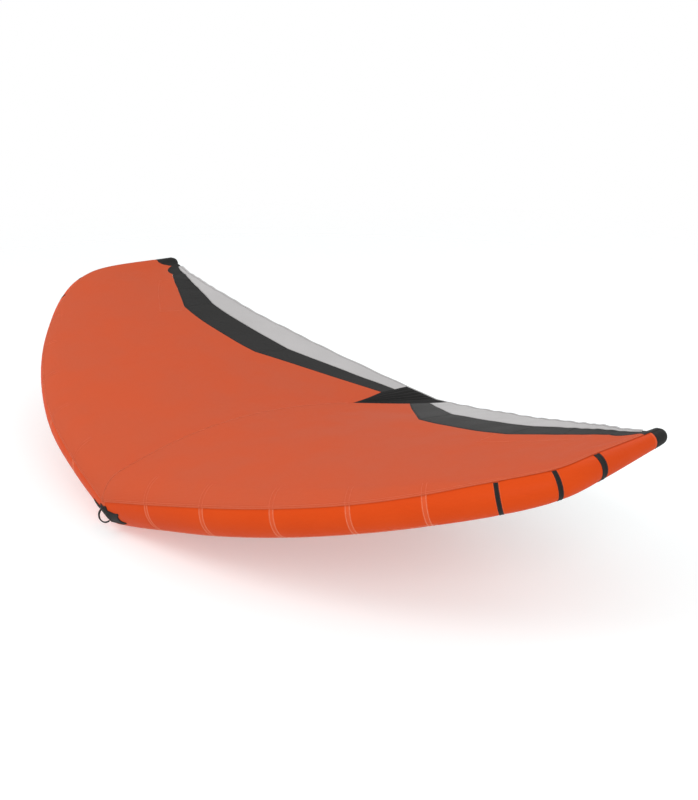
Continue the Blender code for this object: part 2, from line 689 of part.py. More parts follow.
def make_web(frame):
    """The upright cloth between the strut and the canopy, from the sleeve to the slit opening."""
    start, end = CENTRE_CHORD * WEB_FRONT_SHARE, CENTRE_CHORD * STRUT_SEAM_SHARES[0]
    corners = [p.y for p in centre_line()] + [CENTRE_CHORD * s for s in STRUT_PLACE_SHARES]
    steps = [start + LE_NOSE_RADIUS * i / WEB_NOSE_STEPS for i in range(WEB_NOSE_STEPS)]
    places = sorted({start, end, *steps, *(y for y in corners if steps[-1] < y < end)})
    rows = []
    for y in places:
        sleeve, nose = LE_NOSE_RADIUS + STRUT_NOSE_GAP, le_centre(0)
        share = y / CENTRE_CHORD
        low = strut_centre(share).z + strut_radius(share) + STRUT_SEAT
        if y < nose.y + sleeve:
            low = max(low, nose.z + math.sqrt(sleeve**2 - (y - nose.y)**2))
        rows.append([Vector((-WEB_CLOTH / 2, y, low)),
                     Vector((-WEB_CLOTH / 2, y, canopy_height(y) - STRUT_SEAT))])
    bm = skin(rows)
    shape = bmesh.ops.extrude_face_region(bm, geom=bm.faces[:])
    moved = [v for v in shape["geom"] if isinstance(v, bmesh.types.BMVert)]
    bmesh.ops.translate(bm, verts=moved, vec=(WEB_CLOTH, 0, 0))
    finish("strut_web", bm, "sleeve", frame)


# Handles

def strut_bottom(y, x=0.0):
    """A point on the strut's faceted underside, at a distance back and to the side."""
    share = y / CENTRE_CHORD
    centre, radius = strut_centre(share), strut_radius(share)
    step = 2 * math.pi / STRUT_SIDES
    rise = (1 - math.cos(step)) / math.sin(step) * abs(x)
    return Vector((x, y, centre.z - radius + rise - FIT_GAP))


def make_anchor(name, start, outward, down, frame):
    """A sewn patch with two raised webbing tabs, under the strut. outward is +1 or -1 along Y."""
    edge = FIT_GAP / ANCHOR_LENGTH / 2
    places = [(0.0, 0)]
    for low, high in zip(TAB_START_SHARES, TAB_END_SHARES):
        places += [(low - edge, 0), (low + edge, 1), (high - edge, 1), (high + edge, 0)]
    places[-1] = (1.0, 0)
    width = [-ANCHOR_WIDTH / 2, 0.0, ANCHOR_WIDTH / 2]
    upper = [[strut_bottom(start + outward * ANCHOR_LENGTH * s, x) for x in width] for s, _ in places]
    lower = []
    for s, raised in places:
        drop = TAB_HEIGHT if raised else ANCHOR_CLOTH
        y = start + outward * ANCHOR_LENGTH * s
        lower.append([strut_bottom(y, x) + down * drop for x in width])
    finish(name, between(upper, lower), "black", frame)


def between(upper, lower):
    """A closed bmesh between two grids of points of the same size."""
    bm = bmesh.new()
    grids = [[[bm.verts.new(p) for p in row] for row in grid] for grid in (upper, lower)]
    for turn, grid in enumerate(grids):
        for a, b in zip(grid, grid[1:]):
            for i in range(len(a) - 1):
                corners = (a[i], a[i + 1], b[i + 1], b[i])
                bm.faces.new(corners if turn else reversed(corners))
    top, low = grids
    for a, b in ((top[0], low[0]), (top[-1], low[-1]),
                 ([r[0] for r in top], [r[0] for r in low]), ([r[-1] for r in top], [r[-1] for r in low])):
        for i in range(len(a) - 1):
            bm.faces.new((a[i], a[i + 1], b[i + 1], b[i]))
    return bm


def tube(path, radius, sides, reference=Vector((1, 0, 0))):
    """Rings of points round a path, with reference giving each ring's first direction."""
    across = [2 * radius] * len(path)
    return ribbon(path, across, across, sides, reference)


def ribbon(path, widths, thicknesses, sides, reference=Vector((1, 0, 0))):
    """Oval rings round a path: their width lies along reference, and their thickness across it."""
    rings = []
    for i, point in enumerate(path):
        run = (path[min(i + 1, len(path) - 1)] - path[max(i - 1, 0)]).normalized()
        first = (reference - run * reference.dot(run)).normalized() * widths[i] / 2
        second = run.cross(first).normalized() * thicknesses[i] / 2
        turns = [2 * math.pi * k / sides for k in range(sides)]
        rings.append([point + first * math.cos(t) + second * math.sin(t) for t in turns])
    return rings


def handle_down(number):
    """The direction straight down from the strut at a handle."""
    middle = CENTRE_CHORD * HANDLE_PLACE_SHARES[number]
    reach = HANDLE_LENGTHS[number] / 2
    run = (strut_bottom(middle + reach) - strut_bottom(middle - reach)).normalized()
    return Vector((0, run.z, -run.y))


def grip_axis(number):
    """The two ends of a handle's turning line, each just short of its anchor's first tab."""
    middle = CENTRE_CHORD * HANDLE_PLACE_SHARES[number]
    reach = HANDLE_LENGTHS[number] / 2 - ANCHOR_LENGTH * (1 - TAB_START_SHARES[0]) - FIT_GAP
    low = handle_down(number) * (TAB_HEIGHT - GRIP_THICKNESS / 2)
    return [strut_bottom(middle + reach * way) + low for way in (-1, 1)]


def make_handles(frame):
    for number, word in enumerate(("front", "rear")):
        ends = grip_axis(number)
        middle = CENTRE_CHORD * HANDLE_PLACE_SHARES[number]
        reach = HANDLE_LENGTHS[number] / 2 - ANCHOR_LENGTH
        down = handle_down(number)
        make_anchor(f"{word}_handle_anchor_fore", middle - reach, -1, down, frame)
        make_anchor(f"{word}_handle_anchor_aft", middle + reach, 1, down, frame)
        pivot = bpy.data.objects.new(f"{word}_handle_pivot", None)
        pivot.location = (ends[0] + ends[1]) / 2
        pivot.parent = frame
        bpy.context.scene.collection.objects.link(pivot)
        lead = GRIP_LEAD / (ends[1] - ends[0]).length
        steps = [i / GRIP_STEPS for i in range(GRIP_STEPS + 1)]
        places = [0.0, *(lead + (1 - 2 * lead) * step for step in steps), 1.0]
        bows = [0.0, *(math.sin(math.pi * step) ** GRIP_ROUND_SHARE for step in steps), 0.0]
        path = [ends[0].lerp(ends[1], place) + down * (GRIP_BOW * bow) - pivot.location
                for place, bow in zip(places, bows)]
        wide = [min(1, bow**2 * GRIP_WIDEN_SHARE) for bow in bows]
        widths = [GRIP_END_WIDTH + (GRIP_WIDTH - GRIP_END_WIDTH) * share for share in wide]
        rings = ribbon(path, widths, [GRIP_THICKNESS] * len(path), GRIP_SIDES)
        finish(f"{word}_handle_loop", skin(rings, ring=True, capped=True), "black", pivot)


# Nose

def nose_point(x, degrees, lift):
    """A point on the nose sleeve's outside at a distance x from the middle plane."""
    side = -1 if x < 0 else 1
    station = abs(x) / le_centre(1).x
    for _ in range(SEARCH_STEPS):
        point = sleeve_point(station, degrees, lift)
        station = station * abs(x) / point.x if x else 0.0
    return mirrored(sleeve_point(station, degrees, lift), side)


def make_nose_patch(frame):
    right = list(zip(PATCH_SPAN_PLACES, PATCH_TOP_ANGLES, PATCH_BOTTOM_ANGLES))
    left = [(-x, top, bottom) for x, top, bottom in reversed(right[1:])]
    columns = []
    for x, top, bottom in left + right:
        angles = [top + (bottom - top) * i / NOSE_PATCH_ROW_COUNT for i in range(NOSE_PATCH_ROW_COUNT + 1)]
        columns.append([nose_point(x, angle, CANOPY_LIFT) for angle in angles])
    cloth("nose_patch", columns, PATCH_CLOTH, lambda p: Vector((p.x, 0, 0)), "black", frame)


def nose_loop_ends():
    """The two sewn ends of the towing loop, on its turning line in front of the nose patch."""
    lift = CANOPY_LIFT + PATCH_CLOTH + FIT_GAP + NOSE_LOOP_THICKNESS / 2
    return [nose_point(0, angle, lift) for angle in NOSE_LOOP_ANGLES]


def make_nose_loop(frame):
    """The towing loop, an arch of webbing in the middle plane that leans to either side."""
    top, bottom = nose_loop_ends()
    pivot = bpy.data.objects.new("nose_loop_pivot", None)
    pivot.location = (top + bottom) / 2
    pivot.parent = frame
    bpy.context.scene.collection.objects.link(pivot)
    run = (bottom - top).normalized()
    out = run.cross(Vector((-1, 0, 0))).normalized()
    if out.y > 0:
        out.negate()
    half, root = (bottom - top).length / 2, NOSE_LOOP_THICKNESS / 2
    path, widths, thicknesses = [], [], []
    for i in range(NOSE_LOOP_STEPS + 1):
        turn = math.pi * i / NOSE_LOOP_STEPS
        path.append(run * (-half * math.cos(turn)) + out * (NOSE_LOOP_BOW * math.sin(turn)))
        wide = min(1, math.sin(turn) * NOSE_LOOP_WIDEN_SHARE)
        widths.append(NOSE_LOOP_THICKNESS + (NOSE_LOOP_WIDTH - NOSE_LOOP_THICKNESS) * wide)
        thicknesses.append(NOSE_LOOP_THICKNESS)
    for degrees in NOSE_ROOT_DEGREES:
        turn = math.radians(degrees)
        across = NOSE_LOOP_THICKNESS * math.cos(turn)
        inward = out * (-root * math.sin(turn))
        widths = [across, *widths, across]
        thicknesses = [across, *thicknesses, across]
        path = [inward - run * half, *path, inward + run * half]
    rings = ribbon(path, widths, thicknesses, NOSE_LOOP_SIDES)
    finish("nose_loop", skin(rings, ring=True, capped=True), "black", pivot)


# Valve, hose and clamp

def turned(profile, sides=ROUND_SIDES):
    """A bmesh turned round local Z from a closed profile of (radius, height) points."""
    bm = bmesh.new()
    ring = [bm.verts.new((r, 0, z)) for r, z in profile]
    edges = [bm.edges.new((a, b)) for a, b in zip(ring, ring[1:] + ring[:1])]
    bmesh.ops.spin(bm, geom=ring + edges, cent=(0, 0, 0), axis=(0, 0, 1), angle=2 * math.pi,
                   steps=sides, use_merge=True)
    bmesh.ops.remove_doubles(bm, verts=bm.verts[:], dist=FIT_GAP / 10)
    return bm


def pose(origin, outward, near=Vector((0, 0, 1))):
    """A matrix that carries local Z to outward, at origin."""
    z = outward.normalized()
    x = near.cross(z).normalized()
    y = z.cross(x)
    return Matrix.Translation(origin) @ Matrix((x, y, z)).transposed().to_4x4()


def cutter(name, radius, matrix, frame):
    """A round plug that cuts a hole and isn't a piece."""
    bm = bmesh.new()
    bmesh.ops.create_cone(bm, cap_ends=True, segments=ROUND_SIDES, radius1=radius, radius2=radius,
                          depth=CUTTER_DEPTH)
    made = finish(name, bm, "hard", frame)
    made.matrix_local = matrix
    made.hide_render = True
    made.display_type = "WIRE"
    return made


def cut(target, tool):
    made = target.modifiers.new(tool.name, "BOOLEAN")
    made.operation = "DIFFERENCE"
    made.object = tool


def sleeve_seat(station, degrees):
    """A matrix on the right half's sleeve, with local Z pointing out of it."""
    base = sleeve_point(station, degrees, FLANGE_LIFT)
    return pose(base, base - sleeve_point(station, degrees + 180, FLANGE_LIFT))


def strut_seat(share, degrees):
    """A matrix on the strut's sleeve, degrees round from its top towards +X."""
    turn = math.radians(degrees)
    out = Vector((math.sin(turn), 0, math.cos(turn)))
    base = strut_centre(share) + out * (strut_radius(share) + FLANGE_LIFT)
    return pose(base, out, Vector((0, 1, 0)))


def make_valve(frame, sleeve, bladder):
    seat = sleeve_seat(VALVE_PANELS_SHARE, VALVE_ANGLE)
    top = VALVE_FLANGE_THICKNESS + VALVE_COLLAR_HEIGHT
    profile = ((VALVE_BORE_RADIUS, -VALVE_NECK_DEPTH), (VALVE_NECK_RADIUS, -VALVE_NECK_DEPTH),
               (VALVE_NECK_RADIUS, 0), (VALVE_FLANGE_RADIUS, 0),
               (VALVE_FLANGE_RADIUS, VALVE_FLANGE_THICKNESS), (VALVE_CAP_RADIUS, VALVE_FLANGE_THICKNESS),
               (VALVE_CAP_RADIUS, top), (VALVE_BORE_RADIUS, top))
    body = finish("filling_valve", turned(profile), "hard", frame)
    body.matrix_local = seat
    hole = cutter("valve_hole", VALVE_NECK_RADIUS + FIT_GAP, seat, frame)
    cut(sleeve, hole)
    cut(bladder, hole)
    plug = VALVE_BORE_RADIUS - FIT_GAP
    low, high = top + FIT_GAP, top + FIT_GAP + VALVE_CAP_THICKNESS
    bm = turned(((0, low - VALVE_PLUG_DEPTH), (plug, low - VALVE_PLUG_DEPTH), (plug, low),
                 (VALVE_CAP_RADIUS, low), (VALVE_CAP_RADIUS, high), (0, high)))
    cap = finish("valve_cap", bm, "hard", frame)
    cap.matrix_local = seat
    grip = bmesh.new()
    bmesh.ops.create_cube(grip, size=1.0)
    size = (VALVE_GRIP_LENGTH, VALVE_GRIP_WIDTH, VALVE_GRIP_HEIGHT + FIT_GAP)
    bmesh.ops.scale(grip, verts=grip.verts[:], vec=size)
    bmesh.ops.translate(grip, verts=grip.verts[:], vec=(0, 0, high + VALVE_GRIP_HEIGHT / 2 - FIT_GAP / 2))
    bar = finish("valve_cap_grip", grip, "hard", frame)
    bar.matrix_local = seat
    bar.hide_render = True
    bar.display_type = "WIRE"
    joined = cap.modifiers.new("Grip", "BOOLEAN")
    joined.operation = "UNION"
    joined.object = bar


def make_port(name, seat, frame, sleeve, bladder):
    profile = ((PORT_BORE_RADIUS, -PORT_NECK_DEPTH), (PORT_NECK_RADIUS, -PORT_NECK_DEPTH),
               (PORT_NECK_RADIUS, 0), (PORT_FLANGE_RADIUS, 0),
               (PORT_FLANGE_RADIUS, PORT_FLANGE_THICKNESS), (PORT_BORE_RADIUS, PORT_FLANGE_THICKNESS))
    made = finish(name, turned(profile, ROUND_SIDES // 2), "hard", frame)
    made.matrix_local = seat
    hole = cutter(f"{name}_hole", PORT_NECK_RADIUS + FIT_GAP, seat, frame)
    cut(sleeve, hole)
    cut(bladder, hole)


def bezier(a, b, c, d, steps):
    return [a * (1 - u)**3 + b * (3 * u * (1 - u)**2) + c * (3 * u**2 * (1 - u)) + d * u**3
            for u in (i / steps for i in range(steps + 1))]


@functools.lru_cache(maxsize=None)
def hose_path():
    """The hose's middle line from port to port, straight inside the clamp."""
    start = sleeve_seat(HOSE_PANELS_SHARE, HOSE_LE_ANGLE)
    end = strut_seat(HOSE_STRUT_SHARE, HOSE_STRUT_ANGLE)
    lift = PORT_FLANGE_THICKNESS + FIT_GAP
    ends = [seat @ Vector((0, 0, lift)) for seat in (start, end)]
    leads = [seat @ Vector((0, 0, lift + HOSE_LEAD)) for seat in (start, end)]
    pulls = [seat @ Vector((0, 0, lift + HOSE_LEAD + HOSE_BULGE)) for seat in (start, end)]
    centre = (leads[0] + leads[1] + 3 * (pulls[0] + pulls[1])) / 8
    run = (pulls[1] + leads[1] - pulls[0] - leads[0]).normalized()
    clamp = [centre - run * CLAMP_RUN / 2, centre + run * CLAMP_RUN / 2]
    reach = HOSE_BULGE / 2
    first = bezier(leads[0], leads[0].lerp(pulls[0], 0.5), clamp[0] - run * reach, clamp[0], HOSE_STEPS)
    second = bezier(clamp[1], clamp[1] + run * reach, leads[1].lerp(pulls[1], 0.5), leads[1], HOSE_STEPS)
    return [ends[0], *first, *second, ends[1]]


def make_hose(frame, sleeve, le_bladder, strut_panel, strut_bladder):
    seat = sleeve_seat(HOSE_PANELS_SHARE, HOSE_LE_ANGLE)
    make_port("hose_port_leading_edge", seat, frame, sleeve, le_bladder)
    seat = strut_seat(HOSE_STRUT_SHARE, HOSE_STRUT_ANGLE)
    make_port("hose_port_strut", seat, frame, strut_panel, strut_bladder)
    path = hose_path()
    rings = tube(path, HOSE_RADIUS, HOSE_SIDES, reference=Vector((0, 0, 1)))

    def middle(point):
        return min(path, key=lambda p: (p - point).length)
    cloth("filling_hose", rings, HOSE_WALL, middle, "hard", frame, ring=True, inward=True)


def clamp_frame():
    """Matrix at the hose's middle: X along the hose, Z across it, away from the strut."""
    path = hose_path()
    first, second = path[HOSE_STEPS + 1], path[HOSE_STEPS + 2]
    centre = (first + second) / 2
    along_hose = (second - first).normalized()
    up = Vector((0, 0, 1))
    side = up.cross(along_hose).normalized()
    up = along_hose.cross(side)
    return Matrix.Translation(centre) @ Matrix((along_hose, side, up)).transposed().to_4x4()


def extruded(outline, depth):
    """A bmesh from an outline of (x, z) points, extruded both ways along Y to a depth."""
    bm = bmesh.new()
    face = bm.faces.new([bm.verts.new((x, -depth / 2, z)) for x, z in outline])
    made = bmesh.ops.extrude_face_region(bm, geom=[face])
    moved = [v for v in made["geom"] if isinstance(v, bmesh.types.BMVert)]
    bmesh.ops.translate(bm, verts=moved, vec=(0, depth, 0))
    return bm


def make_clamp(frame):
    place = clamp_frame()
    inner = HOSE_RADIUS + FIT_GAP
    outer = inner + CLAMP_WALL
    low, high = -outer, CLAMP_CHEEK_HEIGHT - outer
    # the channel's section lies across the hose, so it is drawn in (across, up) and extruded along the hose
    channel = ((-outer, low), (outer, low), (outer, high), (inner, high), (inner, -inner),
               (-inner, -inner), (-inner, high), (-outer, high))
    bm = extruded(channel, CLAMP_LENGTH)
    bmesh.ops.rotate(bm, verts=bm.verts[:], cent=(0, 0, 0), matrix=Matrix.Rotation(math.pi / 2, 3, "Z"))
    body = finish("hose_clamp", bm, "hard", frame)
    body.matrix_local = place
    pivot = bpy.data.objects.new("clamp_lever_pivot", None)
    bpy.context.scene.collection.objects.link(pivot)
    pivot.parent = frame
    half = CLAMP_LEVER_THICKNESS / 2
    pivot.matrix_local = place @ Matrix.Translation((-CLAMP_LENGTH / 2 + half, 0, inner + half))
    turns = [math.pi / 2 + math.pi * i / LEVER_ROUND_STEPS for i in range(LEVER_ROUND_STEPS + 1)]
    lever = [(half * math.cos(turn), half * math.sin(turn)) for turn in turns]
    lever += [(CLAMP_LENGTH - half, -half), (CLAMP_LENGTH + half, half)]
    finish("clamp_lever", extruded(lever, 2 * (inner - FIT_GAP)), "hard", pivot)


def lowest_middle(objects):
    """The middle of the bottom of the box round all the pieces."""
    bpy.context.view_layer.update()
    graph = bpy.context.evaluated_depsgraph_get()
    corners = []
    for obj in objects:
        shown = obj.evaluated_get(graph)
        mesh = shown.to_mesh()
        corners += [shown.matrix_world @ v.co for v in mesh.vertices]
        shown.to_mesh_clear()
    low = [min(p[i] for p in corners) for i in range(3)]
    high = [max(p[i] for p in corners) for i in range(3)]
    return Vector(((low[0] + high[0]) / 2, (low[1] + high[1]) / 2, low[2]))


def main():
    for old in list(bpy.data.objects):
        bpy.data.objects.remove(old)
    frame = bpy.data.objects.new("wing_frame", None)
    bpy.context.scene.collection.objects.link(frame)
    make_sleeve_panels(frame)
    le_bladder = make_le_bladder(frame)
    make_bands(frame)
    make_tip_caps(frame)
    make_canopy_panels(frame)
    make_bands_and_windows(frame)
    make_centre_patch(frame)
    make_tip_corners(frame)
    make_hems(frame)
    make_strut_panels(frame)
    make_strut_cap(frame)
    strut_bladder = make_strut_bladder(frame)
    make_web(frame)
    make_handles(frame)
    make_nose_patch(frame)
    make_nose_loop(frame)
    nose_panel = bpy.data.objects["leading_edge_panel_1_right"]
    make_valve(frame, nose_panel, le_bladder)
    make_hose(frame, nose_panel, le_bladder, bpy.data.objects["strut_panel_front"], strut_bladder)
    make_clamp(frame)
    pieces = [o for o in bpy.data.objects if o.type == "MESH" and not o.hide_render]
    frame.location = -lowest_middle(pieces)


if __name__ == "__main__":
    main()
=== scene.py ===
"""Looks of an inflatable hand-held wing for wing foiling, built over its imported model.

Metres, +Z up, the nose to -Y, the trailing edge to +Y. A station counts panels along the leading edge,
from 0 at the nose to 9 at a tip. A share runs along the chord, from 0 where the canopy leaves the sleeve
to 1 at the trailing edge, and from 0 down to -1 where the canopy wraps the sleeve.
"""

import functools
import logging
import math
from collections.abc import Callable, Iterable, Sequence
from dataclasses import asdict, dataclass, field, replace
from enum import Enum
from typing import TypeVar

import bmesh
import bpy
from mathutils import Matrix, Vector, noise
from mathutils.bvhtree import BVHTree
from mathutils.geometry import delaunay_2d_cdt


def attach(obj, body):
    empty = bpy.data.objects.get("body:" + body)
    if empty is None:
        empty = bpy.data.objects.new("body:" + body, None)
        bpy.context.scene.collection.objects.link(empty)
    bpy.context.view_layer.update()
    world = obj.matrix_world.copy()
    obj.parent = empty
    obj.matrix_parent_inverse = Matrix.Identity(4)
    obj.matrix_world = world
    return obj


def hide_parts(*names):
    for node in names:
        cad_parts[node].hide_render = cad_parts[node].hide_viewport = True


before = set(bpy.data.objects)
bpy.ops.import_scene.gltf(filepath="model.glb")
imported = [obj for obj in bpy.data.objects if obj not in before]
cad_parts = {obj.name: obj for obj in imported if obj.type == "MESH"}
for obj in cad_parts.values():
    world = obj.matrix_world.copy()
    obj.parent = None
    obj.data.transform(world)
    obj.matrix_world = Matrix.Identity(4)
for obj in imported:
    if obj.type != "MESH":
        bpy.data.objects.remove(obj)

LOG = logging.getLogger("foil_wing")
SHIFT = Vector((0.0, -0.860016, 0.133758))
UP = Vector((0.0, 0.0, 1.0))
THREAD_LIFT = 0.0002
MERGE = 1e-7

Colour = tuple[float, float, float]
Pair = tuple[float, float]
Rows = list[list[Vector]]
Line = list[tuple[Vector, Vector]]
Sockets = bpy.types.bpy_prop_collection
Curved = TypeVar("Curved", float, Vector)


class Side(Enum):
    """The two halves of the wing, with the sign of their X."""

    LEFT = -1
    RIGHT = 1

    @property
    def word(self) -> str:
        """The side's name in lower case."""
        return self.name.lower()

    def turned(self, point: Vector) -> Vector:
        """A point of the right half, carried to this side."""
        return Vector((point.x * self.value, point.y, point.z))


class Body(Enum):
    """The wing and the five pieces that move on it."""

    WING = "wing"
    FRONT_HANDLE = "front_handle"
    REAR_HANDLE = "rear_handle"
    TOWING_LOOP = "towing_loop"
    SCREW_CAP = "screw_cap"
    PINCH_LEVER = "pinch_lever"


class Slot(Enum):
    """The material slots that the record names."""

    SLEEVE = "sleeve_cloth"
    CANOPY = "canopy_cloth"
    BLACK = "black_cloth"
    WINDOW = "window_cloth"
    WEBBING = "webbing"
    FILM = "bladder_film"
    PLASTIC = "hard_plastic"
    HOSE = "hose_rubber"


# The wing's form


def smooth(values: Sequence[float], place: float) -> float:
    """Reads a cubic curve through values at whole places.

    Args:
        values: The curve's values at 0, 1, 2 and so on.
        place: Where to read it.

    Returns:
        The value at the place.
    """
    last = len(values) - 1
    place = min(max(place, 0.0), float(last))
    low = min(int(place), last - 1)
    here, there = values[low], values[low + 1]
    before = values[low - 1] if low > 0 else 2 * here - there
    after = values[low + 2] if low + 2 <= last else 2 * there - here
    rise, fall, u = (there - before) / 2, (after - here) / 2, place - low
    return cubic(here, rise, there, fall, u)


def cubic(start: Curved, leaving: Curved, end: Curved, ending: Curved, u: float) -> Curved:
    """A cubic curve from start to end, read at u from 0 to 1, with its slopes at both ends."""
    return (start * (2 * u**3 - 3 * u**2 + 1) + leaving * (u**3 - 2 * u**2 + u)
            + end * (3 * u**2 - 2 * u**3) + ending * (u**3 - u**2))


def spread(start: float, end: float, steps: int) -> list[float]:
    """Even places from start to end, both included."""
    return [start + (end - start) * i / steps for i in range(steps + 1)]


def straight(corners: Sequence[Pair], place: float) -> float:
    """Reads a line of straight pieces.

    Args:
        corners: The line's corners as (place, value), in rising order of place.
        place: Where to read it.

    Returns:
        The value at the place, held level beyond either end.
    """
    if place <= corners[0][0]:
        return corners[0][1]
    for (low, a), (high, b) in zip(corners, corners[1:]):
        if place <= high:
            return a + (b - a) * (place - low) / (high - low)
    return corners[-1][1]


def ease(low: float, high: float, value: float) -> float:
    """Rises smoothly from 0 at low to 1 at high."""
    u = min(max((value - low) / (high - low), 0.0), 1.0)
    return u * u * (3 - 2 * u)


def close_at_ends(start: float, end: float, near: Sequence[float], spacing: float) -> list[float]:
    """Places from start to end, closer together near both.

    Args:
        start: The first place.
        end: The last place.
        near: The distances from either end of the close places.
        spacing: About how far apart the others are.

    Returns:
        The places in rising order.
    """
    inner = end - start - 2 * near[-1]
    count = max(2, round(inner / spacing))
    return [*(start + d for d in near), *(start + near[-1] + inner * i / count for i in range(1, count)),
            *(end - d for d in reversed(near))]


@dataclass(frozen=True)
class Station:
    """What the form needs at one place along the leading edge."""

    centre: Vector
    radius: float
    run: Vector
    front: Vector
    top: Vector
    seam: float
    leave: float
    start: Vector
    leaving: Vector
    end: Vector
    ending: Vector


@dataclass
class WingForm:
    """The wing's shape: the sleeve's centreline, the canopy's surface and the strut under it."""

    half_span: float = 1.672
    depth: float = 1.322
    rise: float = 0.459
    nose_radius: float = 0.127
    centre_chord: float = 1.8
    span_shares: tuple[float, ...] = (0.0, 0.170, 0.343, 0.512, 0.666, 0.799, 0.911, 0.982, 1.0, 0.995)
    depth_shares: tuple[float, ...] = (0.0235, 0.036, 0.071, 0.146, 0.243, 0.354, 0.468, 0.581, 0.712, 1.0)
    rise_shares: tuple[float, ...] = (-0.011, 0.143, 0.280, 0.417, 0.557, 0.690, 0.812, 0.907, 0.966, 1.0)
    radius_shares: tuple[float, ...] = (1.0, 0.917, 0.837, 0.764, 0.693, 0.616, 0.539, 0.476, 0.425, 0.253)
    seam_angles: tuple[float, ...] = (4.0, 11.0, 21.0, 27.0, 33.0, 46.0, 68.0, 78.0, 82.0, 82.0)
    leave_angles: tuple[float, ...] = (74.0, 78.0, 81.0, 84.5, 87.5, 89.0, 91.0, 94.0, 103.0, 132.0)
    te_span_shares: tuple[float, ...] = (0.0, 0.176, 0.361, 0.490, 0.609, 0.703, 0.785, 0.848, 0.900, 0.964)
    te_chord_shares: tuple[float, ...] = (1.0, 0.924, 0.851, 0.809, 0.7755, 0.757, 0.741, 0.7353, 0.7335,
                                          0.7417)
    te_rise_shares: tuple[float, ...] = (0.027, 0.225, 0.434, 0.572, 0.693, 0.789, 0.869, 0.926, 0.960, 1.006)
    start_pulls: tuple[float, ...] = (1.22, 1.0, 0.9, 0.9, 0.9, 0.9, 0.9, 0.9, 0.8, 0.6)
    end_pulls: tuple[float, ...] = (1.1, 1.0, 1.0, 1.0, 1.0, 1.0, 1.0, 1.0, 0.8, 0.6)
    tail_falls: tuple[float, ...] = (0.17, 0.16, 0.14, 0.12, 0.10, 0.08, 0.06, 0.04, 0.0, 0.0)
    panels: int = 9
    canopy_lift: float = 0.0016
    tip_cap_length: float = 0.055
    joint_pinch: float = 0.0013
    pinch_reach: float = 0.020
    tape_half: float = 0.0115
    tape_edge: float = 0.0012
    tape_lift: float = 0.0005
    taped_joints: int = 5
    wave_height: float = 0.0022
    flutter_height: float = 0.0016
    known: dict[float, Station] = field(default_factory=dict, repr=False)

    def centre(self, t: float) -> Vector:
        """The middle of the sleeve at a station of the right half."""
        return Vector((self.half_span * smooth(self.span_shares, t), self.depth * smooth(self.depth_shares, t),
                       self.rise * smooth(self.rise_shares, t)))

    def station(self, t: float) -> Station:
        """The station's measures, worked out once."""
        key = round(t, 6)
        if key not in self.known:
            self.known[key] = self.measured(t)
        return self.known[key]

    def measured(self, t: float) -> Station:
        """Works out everything that depends on the station alone.

        Args:
            t: The station, 0 to 9.

        Returns:
            The sleeve's ring there, and where the canopy over it starts, ends and points.
        """
        run = self.centre(t + 0.02) - self.centre(t - 0.02)
        mitre = min(t / 0.5, 1.0)
        run = (run.normalized() * mitre + Vector((1, 0, 0)) * (1 - mitre)).normalized()
        front = run.cross(UP).normalized()
        top = front.cross(run).normalized()
        if top.z < 0:
            top.negate()
        centre, radius = self.centre(t), self.nose_radius * smooth(self.radius_shares, t)
        seam, leave = smooth(self.seam_angles, t), smooth(self.leave_angles, t)
        turn = math.radians(leave)
        start = centre + (front * math.cos(turn) + top * math.sin(turn)) * (radius + self.canopy_lift)
        end = Vector((self.half_span * smooth(self.te_span_shares, t),
                      self.centre_chord * smooth(self.te_chord_shares, t),
                      self.rise * smooth(self.te_rise_shares, t)))
        leaving = front * -math.sin(turn) + top * math.cos(turn)
        if t <= 0:
            leaving.x = 0.0
        ending = Vector((end.x - start.x, end.y - start.y, 0)).normalized()
        if t < 1:
            ending = (ending * t + Vector((0, 1, 0)) * (1 - t)).normalized()
        ending.z = -smooth(self.tail_falls, t)
        chord = (end - start).length
        return Station(centre, radius, run, front, top, seam, leave, start,
                       leaving * chord * smooth(self.start_pulls, t), end,
                       ending * chord * smooth(self.end_pulls, t))

    def sleeve(self, t: float, degrees: float, lift: float = 0.0) -> Vector:
        """A point round the sleeve.

        Args:
            t: The station.
            degrees: 0 is level and forward, 90 is the top.
            lift: Height over the sleeve's plain round.

        Returns:
            The point on the right half.
        """
        s = self.station(t)
        return s.centre + self.sleeve_out(t, degrees) * (s.radius + lift)

    def sleeve_out(self, t: float, degrees: float) -> Vector:
        """The direction out of the sleeve at a point of the right half."""
        s, turn = self.station(t), math.radians(degrees)
        return s.front * math.cos(turn) + s.top * math.sin(turn)

    def panel_length(self, t: float) -> float:
        """Length in metres of one station at a station."""
        low = min(int(max(t, 0.0)), self.panels - 1)
        return (self.centre(low + 1) - self.centre(low)).length

    def skin_lift(self, t: float) -> float:
        """How the blown-up cloth stands off its plain round: drawn in at a joint, with the tape on it.

        Args:
            t: The station.

        Returns:
            The lift in metres.
        """
        joint = min(round(t), self.panels - 1)
        away = abs(t - joint) * self.panel_length(t if t > joint else t - 0.5)
        taped = self.tape_lift * (1 - ease(self.tape_half - self.tape_edge, self.tape_half, away))
        return (taped if joint <= self.taped_joints else 0.0) - self.joint_pinch * math.exp(
            -(away / self.pinch_reach) ** 2)

    def cap_station(self) -> float:
        """The station where a tip cap's edge meets the last panel."""
        return self.panels - self.tip_cap_length / self.panel_length(self.panels - 1)

    def canopy(self, t: float, share: float) -> Vector:
        """A point on the canopy's under face.

        Args:
            t: The station.
            share: From -1 at the sewn edge through 0 where it leaves the sleeve to 1 at the trailing edge.

        Returns:
            The point on the right half.
        """
        s = self.station(t)
        if share <= 0:
            return self.sleeve(t, s.leave + (s.leave - s.seam) * share, self.canopy_lift)
        return cubic(s.start, s.leaving, s.end, s.ending, share) + UP * self.ripple(t, share)

